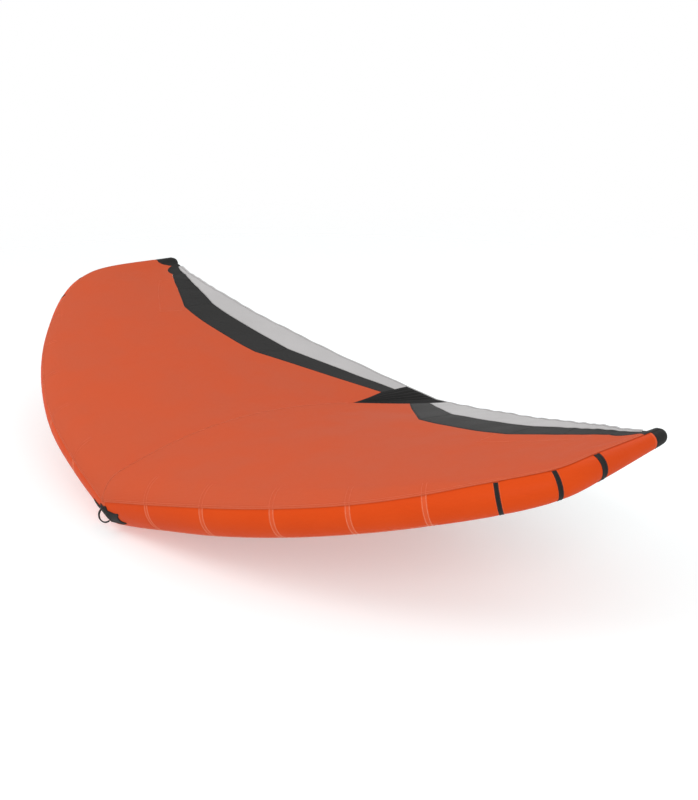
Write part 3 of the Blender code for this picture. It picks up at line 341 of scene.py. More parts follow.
    def ripple(self, t: float, share: float) -> float:
        """The small waves of a taut canopy: long ones over the field, and flutter at the trailing edge."""
        away = ease(0.04, 0.7, t)
        wave = noise.noise(Vector((t * 1.6, share * 5.0, 0.3))) * self.wave_height * ease(0.03, 0.2, share)
        flutter = math.sin(t * 11.0 + 2.0 * noise.noise(Vector((t * 0.8, 4.0, 0.0)))) * self.flutter_height
        return away * (wave + flutter * ease(0.84, 1.0, share) * (1 - ease(8.0, 8.7, t)))

    def canopy_up(self, t: float, share: float) -> Vector:
        """The direction out of the canopy's top face."""
        step = 0.01
        along = self.canopy(t + step, share) - self.canopy(max(t - step, 0.0), share)
        back = self.canopy(t, min(share + step, 1.0)) - self.canopy(t, share - step)
        out = along.cross(back).normalized()
        return out if out.z > -0.2 else -out

    def chord_share(self, length: float, t: float) -> float:
        """A length as a share of the chord at a station."""
        s = self.station(t)
        return length / (s.end - s.start).length

    @functools.cached_property
    def middle_line(self) -> list[Pair]:
        """The canopy's middle line as (y, height)."""
        points = [self.canopy(0.0, i / 160) for i in range(161)]
        return [(p.y, p.z) for p in points]

    def middle_height(self, y: float) -> float:
        """Height of the canopy's under face over the middle plane."""
        line = self.middle_line
        if y > line[-1][0]:
            slope = (line[-1][1] - line[-2][1]) / (line[-1][0] - line[-2][0])
            return line[-1][1] + (y - line[-1][0]) * slope
        return straight(line, y)


# Cloth, seams and other made things


@dataclass
class Wall:
    """A thin wall between a grid of points and a second grid one thickness off it."""

    rows: Rows
    thickness: float
    inside: Callable[[Vector], Vector]
    ring: bool = False
    grows_out: bool = False

    def normals(self) -> Rows:
        """The direction out of the face at each point of the grid.

        Returns:
            One direction for each point, turned away from what is inside.
        """
        count, width = len(self.rows), len(self.rows[0])
        found: Rows = []
        for i, row in enumerate(self.rows):
            above, below = self.rows[max(i - 1, 0)], self.rows[min(i + 1, count - 1)]
            line = []
            for k in range(width):
                left = row[(k - 1) % width] if self.ring else row[max(k - 1, 0)]
                right = row[(k + 1) % width] if self.ring else row[min(k + 1, width - 1)]
                line.append((below[k] - above[k]).cross(right - left))
            found.append(line)
        vote = sum(1 if n.dot(p - self.inside(p)) > 0 else -1
                   for row, line in zip(self.rows, found) for p, n in zip(row, line))
        sign = 1 if vote > 0 else -1
        for i, line in enumerate(found):
            for k, n in enumerate(line):
                line[k] = n.normalized() * sign if n.length > 1e-12 else Vector()
        for i in (0, count - 1):
            if any(n.length < 0.5 for n in found[i]):
                near = found[1 if i == 0 else count - 2]
                pole = sum(near, Vector()).normalized()
                found[i] = [pole.copy() for _ in near]
        return found

    def measures(self) -> tuple[Rows, Rows]:
        """Where each point lies on the flat cloth.

        Returns:
            For each point, (length along, length across, 0), and (length from the first row, length to the
            last row, 0). A ring has one more point in each row.
        """
        width = len(self.rows[0]) + (1 if self.ring else 0)
        count = len(self.rows)
        flat = [[Vector() for _ in range(width)] for _ in range(count)]
        for i, row in enumerate(self.rows):
            for k in range(width):
                here = row[k % len(row)]
                if k:
                    flat[i][k].y = flat[i][k - 1].y + (here - row[k - 1]).length
                if i:
                    flat[i][k].x = flat[i - 1][k].x + (here - self.rows[i - 1][k % len(row)]).length
        ends = [[Vector((flat[i][k].x, flat[-1][k].x - flat[i][k].x, 0.0)) for k in range(width)]
                for i in range(count)]
        return flat, ends

    def area(self) -> tuple[float, float, float]:
        """The flat cut's width, length and area."""
        flat, _ = self.measures()
        wide = max(row[-1].y for row in flat)
        tall = max(p.x for p in flat[-1])
        total, width = 0.0, len(self.rows[0])
        for upper, lower in zip(self.rows, self.rows[1:]):
            for k in range(width if self.ring else width - 1):
                m = (k + 1) % width
                total += (upper[m] - lower[k]).cross(lower[m] - upper[k]).length / 2
        return wide, tall, min(total, wide * tall)

    def mesh(self, name: str, second: int = 0) -> bpy.types.Mesh:
        """Makes the closed wall.

        Args:
            name: The mesh's name.
            second: The material index of the under or inner face.

        Returns:
            The mesh, with UV maps cloth, in metres, and ends, the lengths to the first and last rows.
        """
        out = self.normals()
        step = self.thickness if self.grows_out else -self.thickness
        other = [[p + n * step for p, n in zip(row, line)] for row, line in zip(self.rows, out)]
        outer, inner = (other, self.rows) if self.grows_out else (self.rows, other)
        bm = bmesh.new()
        cloth, ends = bm.loops.layers.uv.new("cloth"), bm.loops.layers.uv.new("ends")
        flat, reach = self.measures()
        width, count = len(self.rows[0]), len(self.rows)
        grids = [[[bm.verts.new(p) for p in row] for row in grid] for grid in (outer, inner)]
        sample = (self.rows[1][0] - self.rows[0][0]).cross(self.rows[0][1] - self.rows[0][0])
        if sample.length < 1e-12:
            sample = (self.rows[2][0] - self.rows[1][0]).cross(self.rows[1][1] - self.rows[1][0])
            right_way = sample.dot(out[1][0]) < 0
        else:
            right_way = sample.dot(out[0][0]) < 0

        def face(corners: list[tuple[int, int, int]], index: int) -> None:
            """Adds one face from (grid, row, place) corners."""
            verts = [grids[g][i][k % width] for g, i, k in corners]
            made = bm.faces.new(verts)
            made.material_index, made.smooth = index, True
            for loop, (_, i, k) in zip(made.loops, corners):
                loop[cloth].uv = flat[i][k].xy
                loop[ends].uv = reach[i][k].xy

        for i in range(count - 1):
            for k in range(width if self.ring else width - 1):
                around = [(i, k), (i, k + 1), (i + 1, k + 1), (i + 1, k)]
                if not right_way:
                    around.reverse()
                face([(0, *c) for c in around], 0)
                face([(1, *c) for c in reversed(around)], second)
        edges = [[(i, k) for k in range(width + (1 if self.ring else 0))] for i in (0, count - 1)]
        if not self.ring:
            edges += [[(i, k) for i in range(count)] for k in (0, width - 1)]
        for edge in edges:
            if (self.rows[edge[0][0]][0] - self.rows[edge[1][0]][edge[1][1] % width]).length < 1e-9:
                continue
            for a, b in zip(edge, edge[1:]):
                face([(0, *a), (0, *b), (1, *b), (1, *a)], second)
        bmesh.ops.remove_doubles(bm, verts=bm.verts[:], dist=MERGE)
        return to_mesh(bm, name, sharp=50, smooth=False)


@dataclass
class Solid:
    """A closed body through rings of points, with flat or pointed ends."""

    rings: Rows

    def mesh(self, name: str, sharp: float = 40.0) -> bpy.types.Mesh:
        """Makes the body, with a UV map named cloth in metres, and its faces turned out."""
        bm = bmesh.new()
        uv = bm.loops.layers.uv.new("cloth")
        grid = [[bm.verts.new(p) for p in ring] for ring in self.rings]
        width, along = len(self.rings[0]), 0.0
        around = [0.0]
        wide = max(self.rings, key=lambda ring: (ring[0] - ring[width // 2]).length)
        for k in range(width):
            around.append(around[-1] + (wide[(k + 1) % width] - wide[k]).length)
        for i in range(len(grid) - 1):
            middle = [sum(self.rings[j], Vector()) / width for j in (i, i + 1)]
            further = along + (middle[1] - middle[0]).length
            for k in range(width):
                m = (k + 1) % width
                made = bm.faces.new((grid[i][k], grid[i][m], grid[i + 1][m], grid[i + 1][k]))
                made.smooth = True
                places = ((along, around[k]), (along, around[k + 1]), (further, around[k + 1]),
                          (further, around[k]))
                for loop, place in zip(made.loops, places):
                    loop[uv].uv = place
            along = further
        for ring in (grid[0], grid[-1]):
            bm.faces.new(ring)
        bmesh.ops.remove_doubles(bm, verts=bm.verts[:], dist=MERGE)
        return to_mesh(bm, name, sharp=sharp, smooth=False)


@dataclass
class Patch:
    """A cut piece of thick cloth with a rounded edge, laid on a surface."""

    outline: Sequence[Pair]
    place: Callable[[float, float, float], Vector]
    thickness: float
    spacing: float = 0.005
    edge: float = 0.0012

    def rise(self, u: float, v: float) -> float:
        """The patch's height at a place on its plan, lower near its edge."""
        away = min(self.gap(u, v, a, b) for a, b in zip(self.outline, [*self.outline[1:], self.outline[0]]))
        return self.thickness * (0.45 + 0.55 * min(1.0, away / self.edge))

    @staticmethod
    def gap(u: float, v: float, a: tuple[float, float], b: tuple[float, float]) -> float:
        """The distance from a place to one side of the outline."""
        p, start, run = Vector((u, v)), Vector(a), Vector(b) - Vector(a)
        share = min(max((p - start).dot(run) / max(run.length_squared, 1e-12), 0.0), 1.0)
        return (p - start - run * share).length

    def holds(self, u: float, v: float) -> bool:
        """Whether a place is inside the outline."""
        inside = False
        for (ax, ay), (bx, by) in zip(self.outline, [*self.outline[1:], self.outline[0]]):
            if (ay > v) != (by > v) and u < (bx - ax) * (v - ay) / (by - ay) + ax:
                inside = not inside
        return inside

    def mesh(self, name: str) -> bpy.types.Mesh:
        """Cuts the patch, lays it and closes it.

        Args:
            name: The mesh's name.

        Returns:
            The closed mesh with a UV map named cloth, in metres.
        """
        fine: list[Pair] = []
        for a, b in zip(self.outline, [*self.outline[1:], self.outline[0]]):
            steps = max(1, math.ceil(math.dist(a, b) / self.spacing))
            fine += [(a[0] + (b[0] - a[0]) * i / steps, a[1] + (b[1] - a[1]) * i / steps) for i in range(steps)]
        low = [min(p[i] for p in fine) for i in (0, 1)]
        high = [max(p[i] for p in fine) for i in (0, 1)]
        counts = [max(2, math.ceil((high[i] - low[i]) / self.spacing)) for i in (0, 1)]
        field_points = []
        for i in range(1, counts[0]):
            for k in range(1, counts[1]):
                u = low[0] + (high[0] - low[0]) * i / counts[0]
                v = low[1] + (high[1] - low[1]) * k / counts[1]
                near = min(self.gap(u, v, a, b) for a, b in zip(fine, [*fine[1:], fine[0]]))
                if self.holds(u, v) and near > self.spacing * 0.35:
                    field_points.append((u, v))
        inset = []
        for i, p in enumerate(fine):
            run = Vector(fine[(i + 1) % len(fine)]) - Vector(fine[i - 1])
            across = Vector((-run.y, run.x)).normalized() * self.edge
            for way in (across, -across):
                q = Vector(p) + way
                if self.holds(q.x, q.y) and self.rise(q.x, q.y) > self.thickness * 0.95:
                    inset.append((q.x, q.y))
                    break
        points = [Vector(p) for p in fine + inset + field_points]
        count = len(fine)
        loops = [(i, (i + 1) % count) for i in range(count)]
        flat, _, faces, *_ = delaunay_2d_cdt(points, loops, [list(range(count))], 1, MERGE)
        bm = bmesh.new()
        uv = bm.loops.layers.uv.new("cloth")
        upper = [bm.verts.new(self.place(p.x, p.y, self.rise(p.x, p.y))) for p in flat]
        lower = [bm.verts.new(self.place(p.x, p.y, 0.0)) for p in flat]
        used: dict[tuple[int, int], int] = {}
        for corners in faces:
            for verts, order in ((upper, corners), (lower, corners[::-1])):
                made = bm.faces.new([verts[i] for i in order])
                made.smooth = True
                for loop, i in zip(made.loops, order):
                    loop[uv].uv = flat[i]
            for a, b in zip(corners, [*corners[1:], corners[0]]):
                used[(a, b)] = used.get((a, b), 0) + 1
        for a, b in used:
            if (b, a) not in used:
                made = bm.faces.new((upper[b], upper[a], lower[a], lower[b]))
                for loop, i in zip(made.loops, (b, a, a, b)):
                    loop[uv].uv = flat[i]
        bmesh.ops.delete(bm, geom=[v for v in bm.verts if not v.link_faces], context="VERTS")
        return to_mesh(bm, name, sharp=60, smooth=False)


def strap(path: Sequence[Vector], widths: Sequence[float], thicknesses: Sequence[float], reference: Vector,
          sides: int = 20, squareness: float = 3.2) -> Rows:
    """Rings of a padded strap along a path.

    Args:
        path: The strap's middle line.
        widths: Its width at each point of the path.
        thicknesses: Its thickness at each point.
        reference: The direction across it, along its width.
        sides: The corners of each ring.
        squareness: 2 is an oval, and more is squarer.

    Returns:
        One ring of points for each point of the path.
    """
    rings = []
    for i, point in enumerate(path):
        run = (path[min(i + 1, len(path) - 1)] - path[max(i - 1, 0)]).normalized()
        first = (reference - run * reference.dot(run)).normalized()
        second = run.cross(first).normalized()
        ring = []
        for k in range(sides):
            c, s = math.cos(2 * math.pi * k / sides), math.sin(2 * math.pi * k / sides)
            size = (abs(c) ** squareness + abs(s) ** squareness) ** (-1 / squareness)
            ring.append(point + first * (c * size * widths[i] / 2) + second * (s * size * thicknesses[i] / 2))
        rings.append(ring)
    return rings


def turned(profile: Sequence[Pair], sides: int = 48) -> bmesh.types.BMesh:
    """Turns a closed (radius, height) profile round local Z.

    Args:
        profile: The profile's corners.
        sides: The number of steps round.

    Returns:
        The closed body.
    """
    bm = bmesh.new()
    ring = [bm.verts.new((r, 0, z)) for r, z in profile]
    edges = [bm.edges.new((a, b)) for a, b in zip(ring, ring[1:] + ring[:1])]
    bmesh.ops.spin(bm, geom=ring + edges, cent=(0, 0, 0), axis=(0, 0, 1), angle=2 * math.pi, steps=sides,
                   use_merge=True)
    bmesh.ops.remove_doubles(bm, verts=bm.verts[:], dist=1e-5)
    return bm


def rounded(profile: Sequence[tuple[float, float, float]], steps: int = 4) -> list[Pair]:
    """Rounds the corners of a closed profile.

    Args:
        profile: The corners as (radius, height, corner rounding).
        steps: The points of each rounded corner, less one.

    Returns:
        The profile's points.
    """
    made: list[Pair] = []
    for i, (r, z, size) in enumerate(profile):
        here = Vector((r, z))
        before = Vector(profile[i - 1][:2])
        after = Vector(profile[(i + 1) % len(profile)][:2])
        if size <= 0:
            made.append((r, z))
            continue
        start = here + (before - here).normalized() * size
        end = here + (after - here).normalized() * size
        for k in range(steps + 1):
            u = k / steps
            p = start * (1 - u) ** 2 + here * (2 * u * (1 - u)) + end * u**2
            made.append((p.x, p.y))
    return made


def to_mesh(bm: bmesh.types.BMesh, name: str, matrix: Matrix | None = None, sharp: float = 35.0,
            smooth: bool = True) -> bpy.types.Mesh:
    """Turns a closed bmesh into a mesh.

    Args:
        bm: The body, which is freed.
        name: The mesh's name.
        matrix: Where it goes, or None to leave it.
        sharp: The angle in degrees past which an edge is drawn sharp.
        smooth: Whether every face is drawn smooth. If not, each keeps what it has.

    Returns:
        The mesh, with its faces turned out.
    """
    bmesh.ops.recalc_face_normals(bm, faces=bm.faces[:])
    made = bpy.data.meshes.new(name)
    bm.to_mesh(made)
    bm.free()
    if matrix is not None:
        made.transform(matrix)
    if smooth:
        made.shade_smooth()
    made.set_sharp_from_angle(angle=math.radians(sharp))
    return made


def domed(ring: Sequence[Vector], centre: Vector, out: Vector, steps: int) -> Rows:
    """Rings that close the end of a tube in a round dome.

    Args:
        ring: The tube's last ring.
        centre: The middle of that ring.
        out: The way from there to the dome's tip.
        steps: The number of rings.

    Returns:
        The rings, ending at the tip.
    """
    turns = spread(0.0, math.pi / 2, steps)[1:]
    return [[centre + (p - centre) * max(math.cos(a), 0.0) + out * math.sin(a) for p in ring] for a in turns]


def framed(origin: Vector, x: Vector, y: Vector, z: Vector) -> Matrix:
    """The matrix of a frame with these axes, at origin."""
    return Matrix.Translation(origin) @ Matrix((x, y, z)).transposed().to_4x4()


def pose(origin: Vector, outward: Vector, near: Vector = UP) -> Matrix:
    """A matrix that carries local Z to outward, at origin."""
    z = outward.normalized()
    x = near.cross(z).normalized()
    return framed(origin, x, z.cross(x), z)


def linked(name: str, data: bpy.types.ID) -> bpy.types.Object:
    """A new object of the scene."""
    made = bpy.data.objects.new(name, data)
    bpy.context.scene.collection.objects.link(made)
    return made


def evaluated(piece: bpy.types.Object) -> bpy.types.Mesh:
    """A plain mesh of what an object's modifiers make of it."""
    graph = bpy.context.evaluated_depsgraph_get()
    graph.update()
    return bpy.data.meshes.new_from_object(piece.evaluated_get(graph))


# Node trees


class NodeKit:
    """Adds and joins the nodes of one tree."""

    def __init__(self, tree: bpy.types.NodeTree) -> None:
        """Starts on a tree."""
        self.tree = tree

    def fill(self, sockets: Sockets, values: dict[str | int, object]) -> None:
        """Joins each named socket to the one given for it, or sets it to the value given."""
        for key, value in values.items():
            if isinstance(value, bpy.types.NodeSocket):
                self.tree.links.new(value, sockets[key])
            else:
                sockets[key].default_value = value

    def add(self, kind: str, inputs: dict[str | int, object] | None = None,
            **settings: object) -> bpy.types.Node:
        """Adds a node.

        Args:
            kind: The node's type.
            inputs: What goes into each input: a socket to join, or a value to set.
            **settings: The node's own properties.

        Returns:
            The node.
        """
        node = self.tree.nodes.new(kind)
        for key, value in settings.items():
            setattr(node, key, value)
        self.fill(node.inputs, inputs or {})
        return node

    def math(self, operation: str, a: object, b: object = 0.0, c: object = 0.0) -> bpy.types.NodeSocket:
        """The output of a Math node."""
        return self.add("ShaderNodeMath", {0: a, 1: b, 2: c}, operation=operation).outputs[0]

    def ramp(self, value: object, low: float, high: float) -> bpy.types.NodeSocket:
        """A smooth rise from 0 at low to 1 at high."""
        return self.add("ShaderNodeMapRange", {"Value": value, "From Min": low, "From Max": high},
                        interpolation_type="SMOOTHSTEP").outputs[0]

    def axes(self, vector: object) -> Sockets:
        """The three parts of a vector."""
        return self.add("ShaderNodeSeparateXYZ", {0: vector}).outputs

    def noise(self, place: object, scale: object, detail: float = 2.0, roughness: float = 0.5,
              distortion: float = 0.0) -> bpy.types.NodeSocket:
        """The output of a Noise Texture node."""
        return self.add("ShaderNodeTexNoise", {"Vector": place, "Scale": scale, "Detail": detail,
                        "Roughness": roughness, "Distortion": distortion}).outputs[0]

    def blend(self, share: object, a: object, b: object) -> bpy.types.NodeSocket:
        """A colour between a and b. Plain colours are (red, green, blue)."""
        first, second = ((*c, 1.0) if isinstance(c, tuple) else c for c in (a, b))
        return self.add("ShaderNodeMix", {0: share, 6: first, 7: second}, data_type="RGBA").outputs[2]

    def bump(self, height: object) -> bpy.types.NodeSocket:
        """The normals of a surface that is raised by a height in metres."""
        return self.add("ShaderNodeBump", {"Height": height, "Distance": 1.0, "Strength": 1.0}).outputs[0]

    def group(self, tree: bpy.types.NodeTree, inputs: dict[str, object]) -> Sockets:
        """Places a shared shader group and returns its outputs."""
        return self.add("ShaderNodeGroup", inputs, node_tree=tree).outputs


class RepeatTree:
    """A Geometry Nodes tree that repeats one small form, with named inputs for its sizes."""

    def __init__(self, name: str, finish: str, sizes: dict[str, float]) -> None:
        """Starts the tree.

        Args:
            name: The tree's name.
            finish: The name of its material input.
            sizes: The names of its other inputs, with the value that each starts from.
        """
        self.tree = bpy.data.node_groups.new(name, "GeometryNodeTree")
        self.kit = NodeKit(self.tree)
        self.finish = finish
        self.sockets: dict[str, str] = {}
        self.new_input("Geometry", "Geometry")
        for label, value in sizes.items():
            self.new_input(label, "Int" if isinstance(value, int) else "Float").default_value = value
        self.new_input(finish, "Material")
        self.tree.interface.new_socket("Geometry", in_out="OUTPUT", socket_type="NodeSocketGeometry")
        self.ins = self.kit.add("NodeGroupInput").outputs

    def new_input(self, label: str, kind: str) -> bpy.types.NodeTreeInterfaceSocket:
        """Adds an input and keeps its identifier."""
        made = self.tree.interface.new_socket(label, in_out="INPUT", socket_type="NodeSocket" + kind)
        self.sockets[label] = made.identifier
        return made

    def close(self, copies: bpy.types.NodeSocket) -> None:
        """Ends the tree: the copies made real, in their finish."""
        real = self.kit.add("GeometryNodeRealizeInstances", {"Geometry": copies}).outputs[0]
        dressed = self.kit.add("GeometryNodeSetMaterial", {"Geometry": real, "Material": self.ins[self.finish]})
        self.kit.add("NodeGroupOutput", {"Geometry": dressed.outputs[0]})

    def baked(self, name: str, mesh: bpy.types.Mesh, finish: bpy.types.Material,
              sizes: dict[str, float]) -> bpy.types.Mesh:
        """Runs the tree on a mesh.

        Args:
            name: The result's name.
            mesh: What the tree works on.
            finish: The copies' material.
            sizes: Values for the tree's inputs, such as pitch or ring_radius.

        Returns:
            The result as a plain mesh.
        """
        seed = linked(name + "_seed", mesh)
        modifier = seed.modifiers.new("Nodes", "NODES")
        modifier.node_group = self.tree
        modifier[self.sockets[self.finish]] = finish
        for key, value in sizes.items():
            modifier[self.sockets[key.replace("_", " ").title()]] = value
        made = evaluated(seed)
        made.name = name
        bpy.data.objects.remove(seed)
        return made


class SewingTree(RepeatTree):
    """Lays stitches along lines on cloth."""

    def __init__(self) -> None:
        """Builds the tree."""
        super().__init__("stitches_along_lines", "Thread", {
            "Pitch": 0.005, "Thread Radius": 0.0006, "Stitch Length": 0.0046, "Zigzag": 0.6,
            "Lift": THREAD_LIFT, "Unevenness": 0.08})
        kit, ins = self.kit, self.ins
        curve = kit.add("GeometryNodeMeshToCurve", {"Mesh": ins["Geometry"]}).outputs[0]
        even = kit.add("GeometryNodeResampleCurve", {"Curve": curve, "Length": ins["Pitch"]}, mode="LENGTH")
        out = kit.add("GeometryNodeInputNamedAttribute", {"Name": "outward"}, data_type="FLOAT_VECTOR")
        lift = kit.add("ShaderNodeVectorMath", {0: out.outputs[0], "Scale": ins["Lift"]}, operation="SCALE")
        raised = kit.add("GeometryNodeSetPosition", {"Geometry": even.outputs[0], "Offset": lift.outputs[0]})
        tangent = kit.add("GeometryNodeInputTangent").outputs[0]
        along = kit.add("FunctionNodeAlignRotationToVector", {"Vector": tangent}, axis="X")
        upright = kit.add("FunctionNodeAlignRotationToVector", {"Rotation": along.outputs[0],
                          "Vector": out.outputs[0]}, axis="Z", pivot_axis="X")
        index = kit.add("GeometryNodeInputIndex").outputs[0]
        side = kit.math("SUBTRACT", kit.math("MULTIPLY", kit.math("MODULO", index, 2.0), 2.0), 1.0)
        uneven = kit.add("FunctionNodeRandomValue", {"Seed": 7}, data_type="FLOAT")
        wobble = kit.math("MULTIPLY", kit.math("SUBTRACT", uneven.outputs[1], 0.5), ins["Unevenness"])
        turn = kit.math("ADD", kit.math("MULTIPLY", side, ins["Zigzag"]), wobble)
        euler = kit.add("ShaderNodeCombineXYZ", {"Z": turn}).outputs[0]
        turned_by = kit.add("FunctionNodeEulerToRotation", {"Euler": euler}).outputs[0]
        laid = kit.add("FunctionNodeRotateRotation", {"Rotation": upright.outputs[0], "Rotate By": turned_by},
                       rotation_space="LOCAL").outputs[0]
        thread = kit.add("GeometryNodeMeshCylinder", {"Vertices": 5, "Radius": ins["Thread Radius"],
                         "Depth": ins["Stitch Length"]})
        lying = kit.add("GeometryNodeTransform", {"Geometry": thread.outputs[0],
                        "Rotation": (0.0, math.pi / 2, 0.0)}).outputs[0]
        self.close(kit.add("GeometryNodeInstanceOnPoints", {"Points": raised.outputs[0], "Instance": lying,
                           "Rotation": laid}).outputs[0])

    def sew(self, name: str, lines: Sequence[Line], thread: bpy.types.Material,
            sizes: dict[str, float]) -> bpy.types.Mesh:
        """Lays stitches along lines.

        Args:
            name: The mesh's name.
            lines: Each line's points, with the direction out of the cloth at each.
            thread: The thread's material.
            sizes: Values for the tree's inputs.

        Returns:
            The stitches as one plain mesh.
        """
        mesh = bpy.data.meshes.new(name + "_lines")
        points, edges, outward = [], [], []
        for line in lines:
            edges += [(len(points) + i, len(points) + i + 1) for i in range(len(line) - 1)]
            points += [p for p, _ in line]
            outward += [n for _, n in line]
        mesh.from_pydata(points, edges, [])
        layer = mesh.attributes.new("outward", "FLOAT_VECTOR", "POINT")
        layer.data.foreach_set("vector", [c for n in outward for c in n])
        return self.baked(name, mesh, thread, sizes)


class StudTree(RepeatTree):
    """Sets studs in a ring, for the knurls of a cap."""

    def __init__(self) -> None:
        """Builds the tree."""
        super().__init__("studs_in_a_ring", "Finish", {
            "Count": 40, "Ring Radius": 0.02, "Stud Radius": 0.0005, "Stud Length": 0.003, "Height": 0.0})
        kit, ins = self.kit, self.ins
        ring = kit.add("GeometryNodeMeshCircle", {"Vertices": ins["Count"], "Radius": ins["Ring Radius"]})
        place = kit.add("GeometryNodeInputPosition").outputs[0]
        out = kit.add("FunctionNodeAlignRotationToVector", {"Vector": place}, axis="X").outputs[0]
        stud = kit.add("GeometryNodeMeshCylinder", {"Vertices": 8, "Radius": ins["Stud Radius"],
                       "Depth": ins["Stud Length"]})
        studs = kit.add("GeometryNodeInstanceOnPoints", {"Points": ring.outputs[0], "Instance": stud.outputs[0],
                        "Rotation": out}).outputs[0]
        up = kit.add("ShaderNodeCombineXYZ", {"Z": ins["Height"]}).outputs[0]
        self.close(kit.add("GeometryNodeTransform", {"Geometry": studs, "Translation": up}).outputs[0])

    def ring(self, name: str, finish: bpy.types.Material, **sizes: float) -> bpy.types.Mesh:
        """Makes one ring of studs. The keywords are the tree's inputs."""
        return self.baked(name, bpy.data.meshes.new(name + "_seed"), finish, sizes)


# Finishes


class SharedEffects:
    """The shader groups that more than one finish uses, each built once."""

    def __init__(self) -> None:
        """Builds every group."""
        self.weave = self.build_weave()
        self.ripstop = self.build_ripstop()
        self.mottle = self.build_mottle()
        self.creases = self.build_creases()
        self.seam = self.build_seam()
        self.scuffs = self.build_scuffs()

    @staticmethod
    def empty(name: str, vectors: Sequence[str], numbers: Sequence[str],
              outs: Sequence[str]) -> tuple[NodeKit, Sockets, Sockets]:
        """Starts a group.

        Args:
            name: The group's name.
            vectors: The names of its vector inputs.
            numbers: The names of its number inputs.
            outs: The names of its outputs, which are all numbers.

        Returns:
            The node kit, the group's input sockets and the inputs of its output node.
        """
        tree = bpy.data.node_groups.new(name, "ShaderNodeTree")
        for label in (*vectors, *numbers):
            kind = "NodeSocketVector" if label in vectors else "NodeSocketFloat"
            tree.interface.new_socket(label, in_out="INPUT", socket_type=kind)
        for label in outs:
            tree.interface.new_socket(label, in_out="OUTPUT", socket_type="NodeSocketFloat")
        kit = NodeKit(tree)
        return kit, kit.add("NodeGroupInput").outputs, kit.add("NodeGroupOutput").inputs

    def build_weave(self) -> bpy.types.NodeTree:
        """Threads that cross over and under, one pitch apart."""
        kit, ins, outs = self.empty("crossing_threads", ("Place",), ("Pitch",), ("Height", "Fleck"))
        scale = kit.math("DIVIDE", math.tau, ins["Pitch"])
        place = kit.add("ShaderNodeVectorMath", {0: ins["Place"], "Scale": scale}, operation="SCALE").outputs[0]
        axes = kit.axes(place)
        both = kit.math("MULTIPLY", kit.math("SINE", axes[0]), kit.math("SINE", axes[1]))
        kit.fill(outs, {"Height": kit.math("MULTIPLY_ADD", both, 0.5, 0.5), "Fleck": kit.noise(place, 0.25)})
        return kit.tree

    def build_ripstop(self) -> bpy.types.NodeTree:
        """Thicker threads in a square grid."""
        kit, ins, outs = self.empty("ripstop_threads", ("Place",), ("Spacing", "Width"), ("Mask",))
        axes = kit.axes(ins["Place"])
        half = kit.math("DIVIDE", ins["Spacing"], 2.0)
        near = kit.math("MINIMUM", kit.math("PINGPONG", axes[0], half), kit.math("PINGPONG", axes[1], half))
        share = kit.math("DIVIDE", near, ins["Width"])
        kit.fill(outs, {"Mask": kit.math("SUBTRACT", 1.0, kit.ramp(share, 0.5, 1.0))})
        return kit.tree

    def build_mottle(self) -> bpy.types.NodeTree:
        """Slow unevenness of colour."""
        kit, ins, outs = self.empty("slow_mottle", ("Place",), ("Size",), ("Value",))
        cloud = kit.noise(ins["Place"], kit.math("DIVIDE", 1.0, ins["Size"]), 5.0, 0.6)
        kit.fill(outs, {"Value": kit.ramp(cloud, 0.3, 0.7)})
        return kit.tree

    def build_creases(self) -> bpy.types.NodeTree:
        """Soft folds that a packed cloth keeps."""
        kit, ins, outs = self.empty("packing_creases", ("Place",), ("Size",), ("Height",))
        folds = kit.noise(ins["Place"], kit.math("DIVIDE", 1.0, ins["Size"]), distortion=1.2)
        ridge = kit.math("ABSOLUTE", kit.math("SUBTRACT", folds, 0.5))
        kit.fill(outs, {"Height": kit.math("SUBTRACT", 1.0, kit.ramp(ridge, 0.0, 0.09))})
        return kit.tree

    def build_seam(self) -> bpy.types.NodeTree:
        """The tape over a joint, and the puckers that its stitches pull into the cloth."""
        kit, ins, outs = self.empty("sewn_joint", ("Ends", "Place"), ("Tape",), ("Tape Mask", "Pucker"))
        ends = kit.axes(ins["Ends"])
        away = kit.math("MINIMUM", ends[0], ends[1])
        share = kit.math("DIVIDE", away, kit.math("MAXIMUM", ins["Tape"], 0.0001))
        mask = kit.math("SUBTRACT", 1.0, kit.ramp(share, 0.93, 1.03))
        place = kit.add("ShaderNodeCombineXYZ", {"X": kit.math("MULTIPLY", kit.axes(ins["Place"])[1], 62.0),
                        "Y": kit.math("MULTIPLY", away, 14.0)}).outputs[0]
        fade = kit.math("POWER", 2.718, kit.math("DIVIDE", away, -0.026))
        kit.fill(outs, {"Tape Mask": kit.math("MULTIPLY", mask, kit.math("GREATER_THAN", ins["Tape"], 0.001)),
                        "Pucker": kit.math("MULTIPLY", kit.noise(place, 1.0), fade)})
        return kit.tree

    def build_scuffs(self) -> bpy.types.NodeTree:
        """Fine scratches and dull places from handling."""
        kit, ins, outs = self.empty("handling_scuffs", ("Place",), ("Size",), ("Mask", "Grain"))
        broad = kit.noise(ins["Place"], kit.math("DIVIDE", 1.0, ins["Size"]), 8.0, 0.7)
        kit.fill(outs, {"Mask": kit.ramp(broad, 0.52, 0.72), "Grain": kit.noise(ins["Place"], 2600.0, 1.0)})
        return kit.tree


def material(name: str) -> tuple[bpy.types.Material, NodeKit, Sockets]:
    """A new material, with its node kit and the inputs of its Principled shader."""
    made = bpy.data.materials.new(name)
    made.use_nodes = True
    return made, NodeKit(made.node_tree), made.node_tree.nodes["Principled BSDF"].inputs


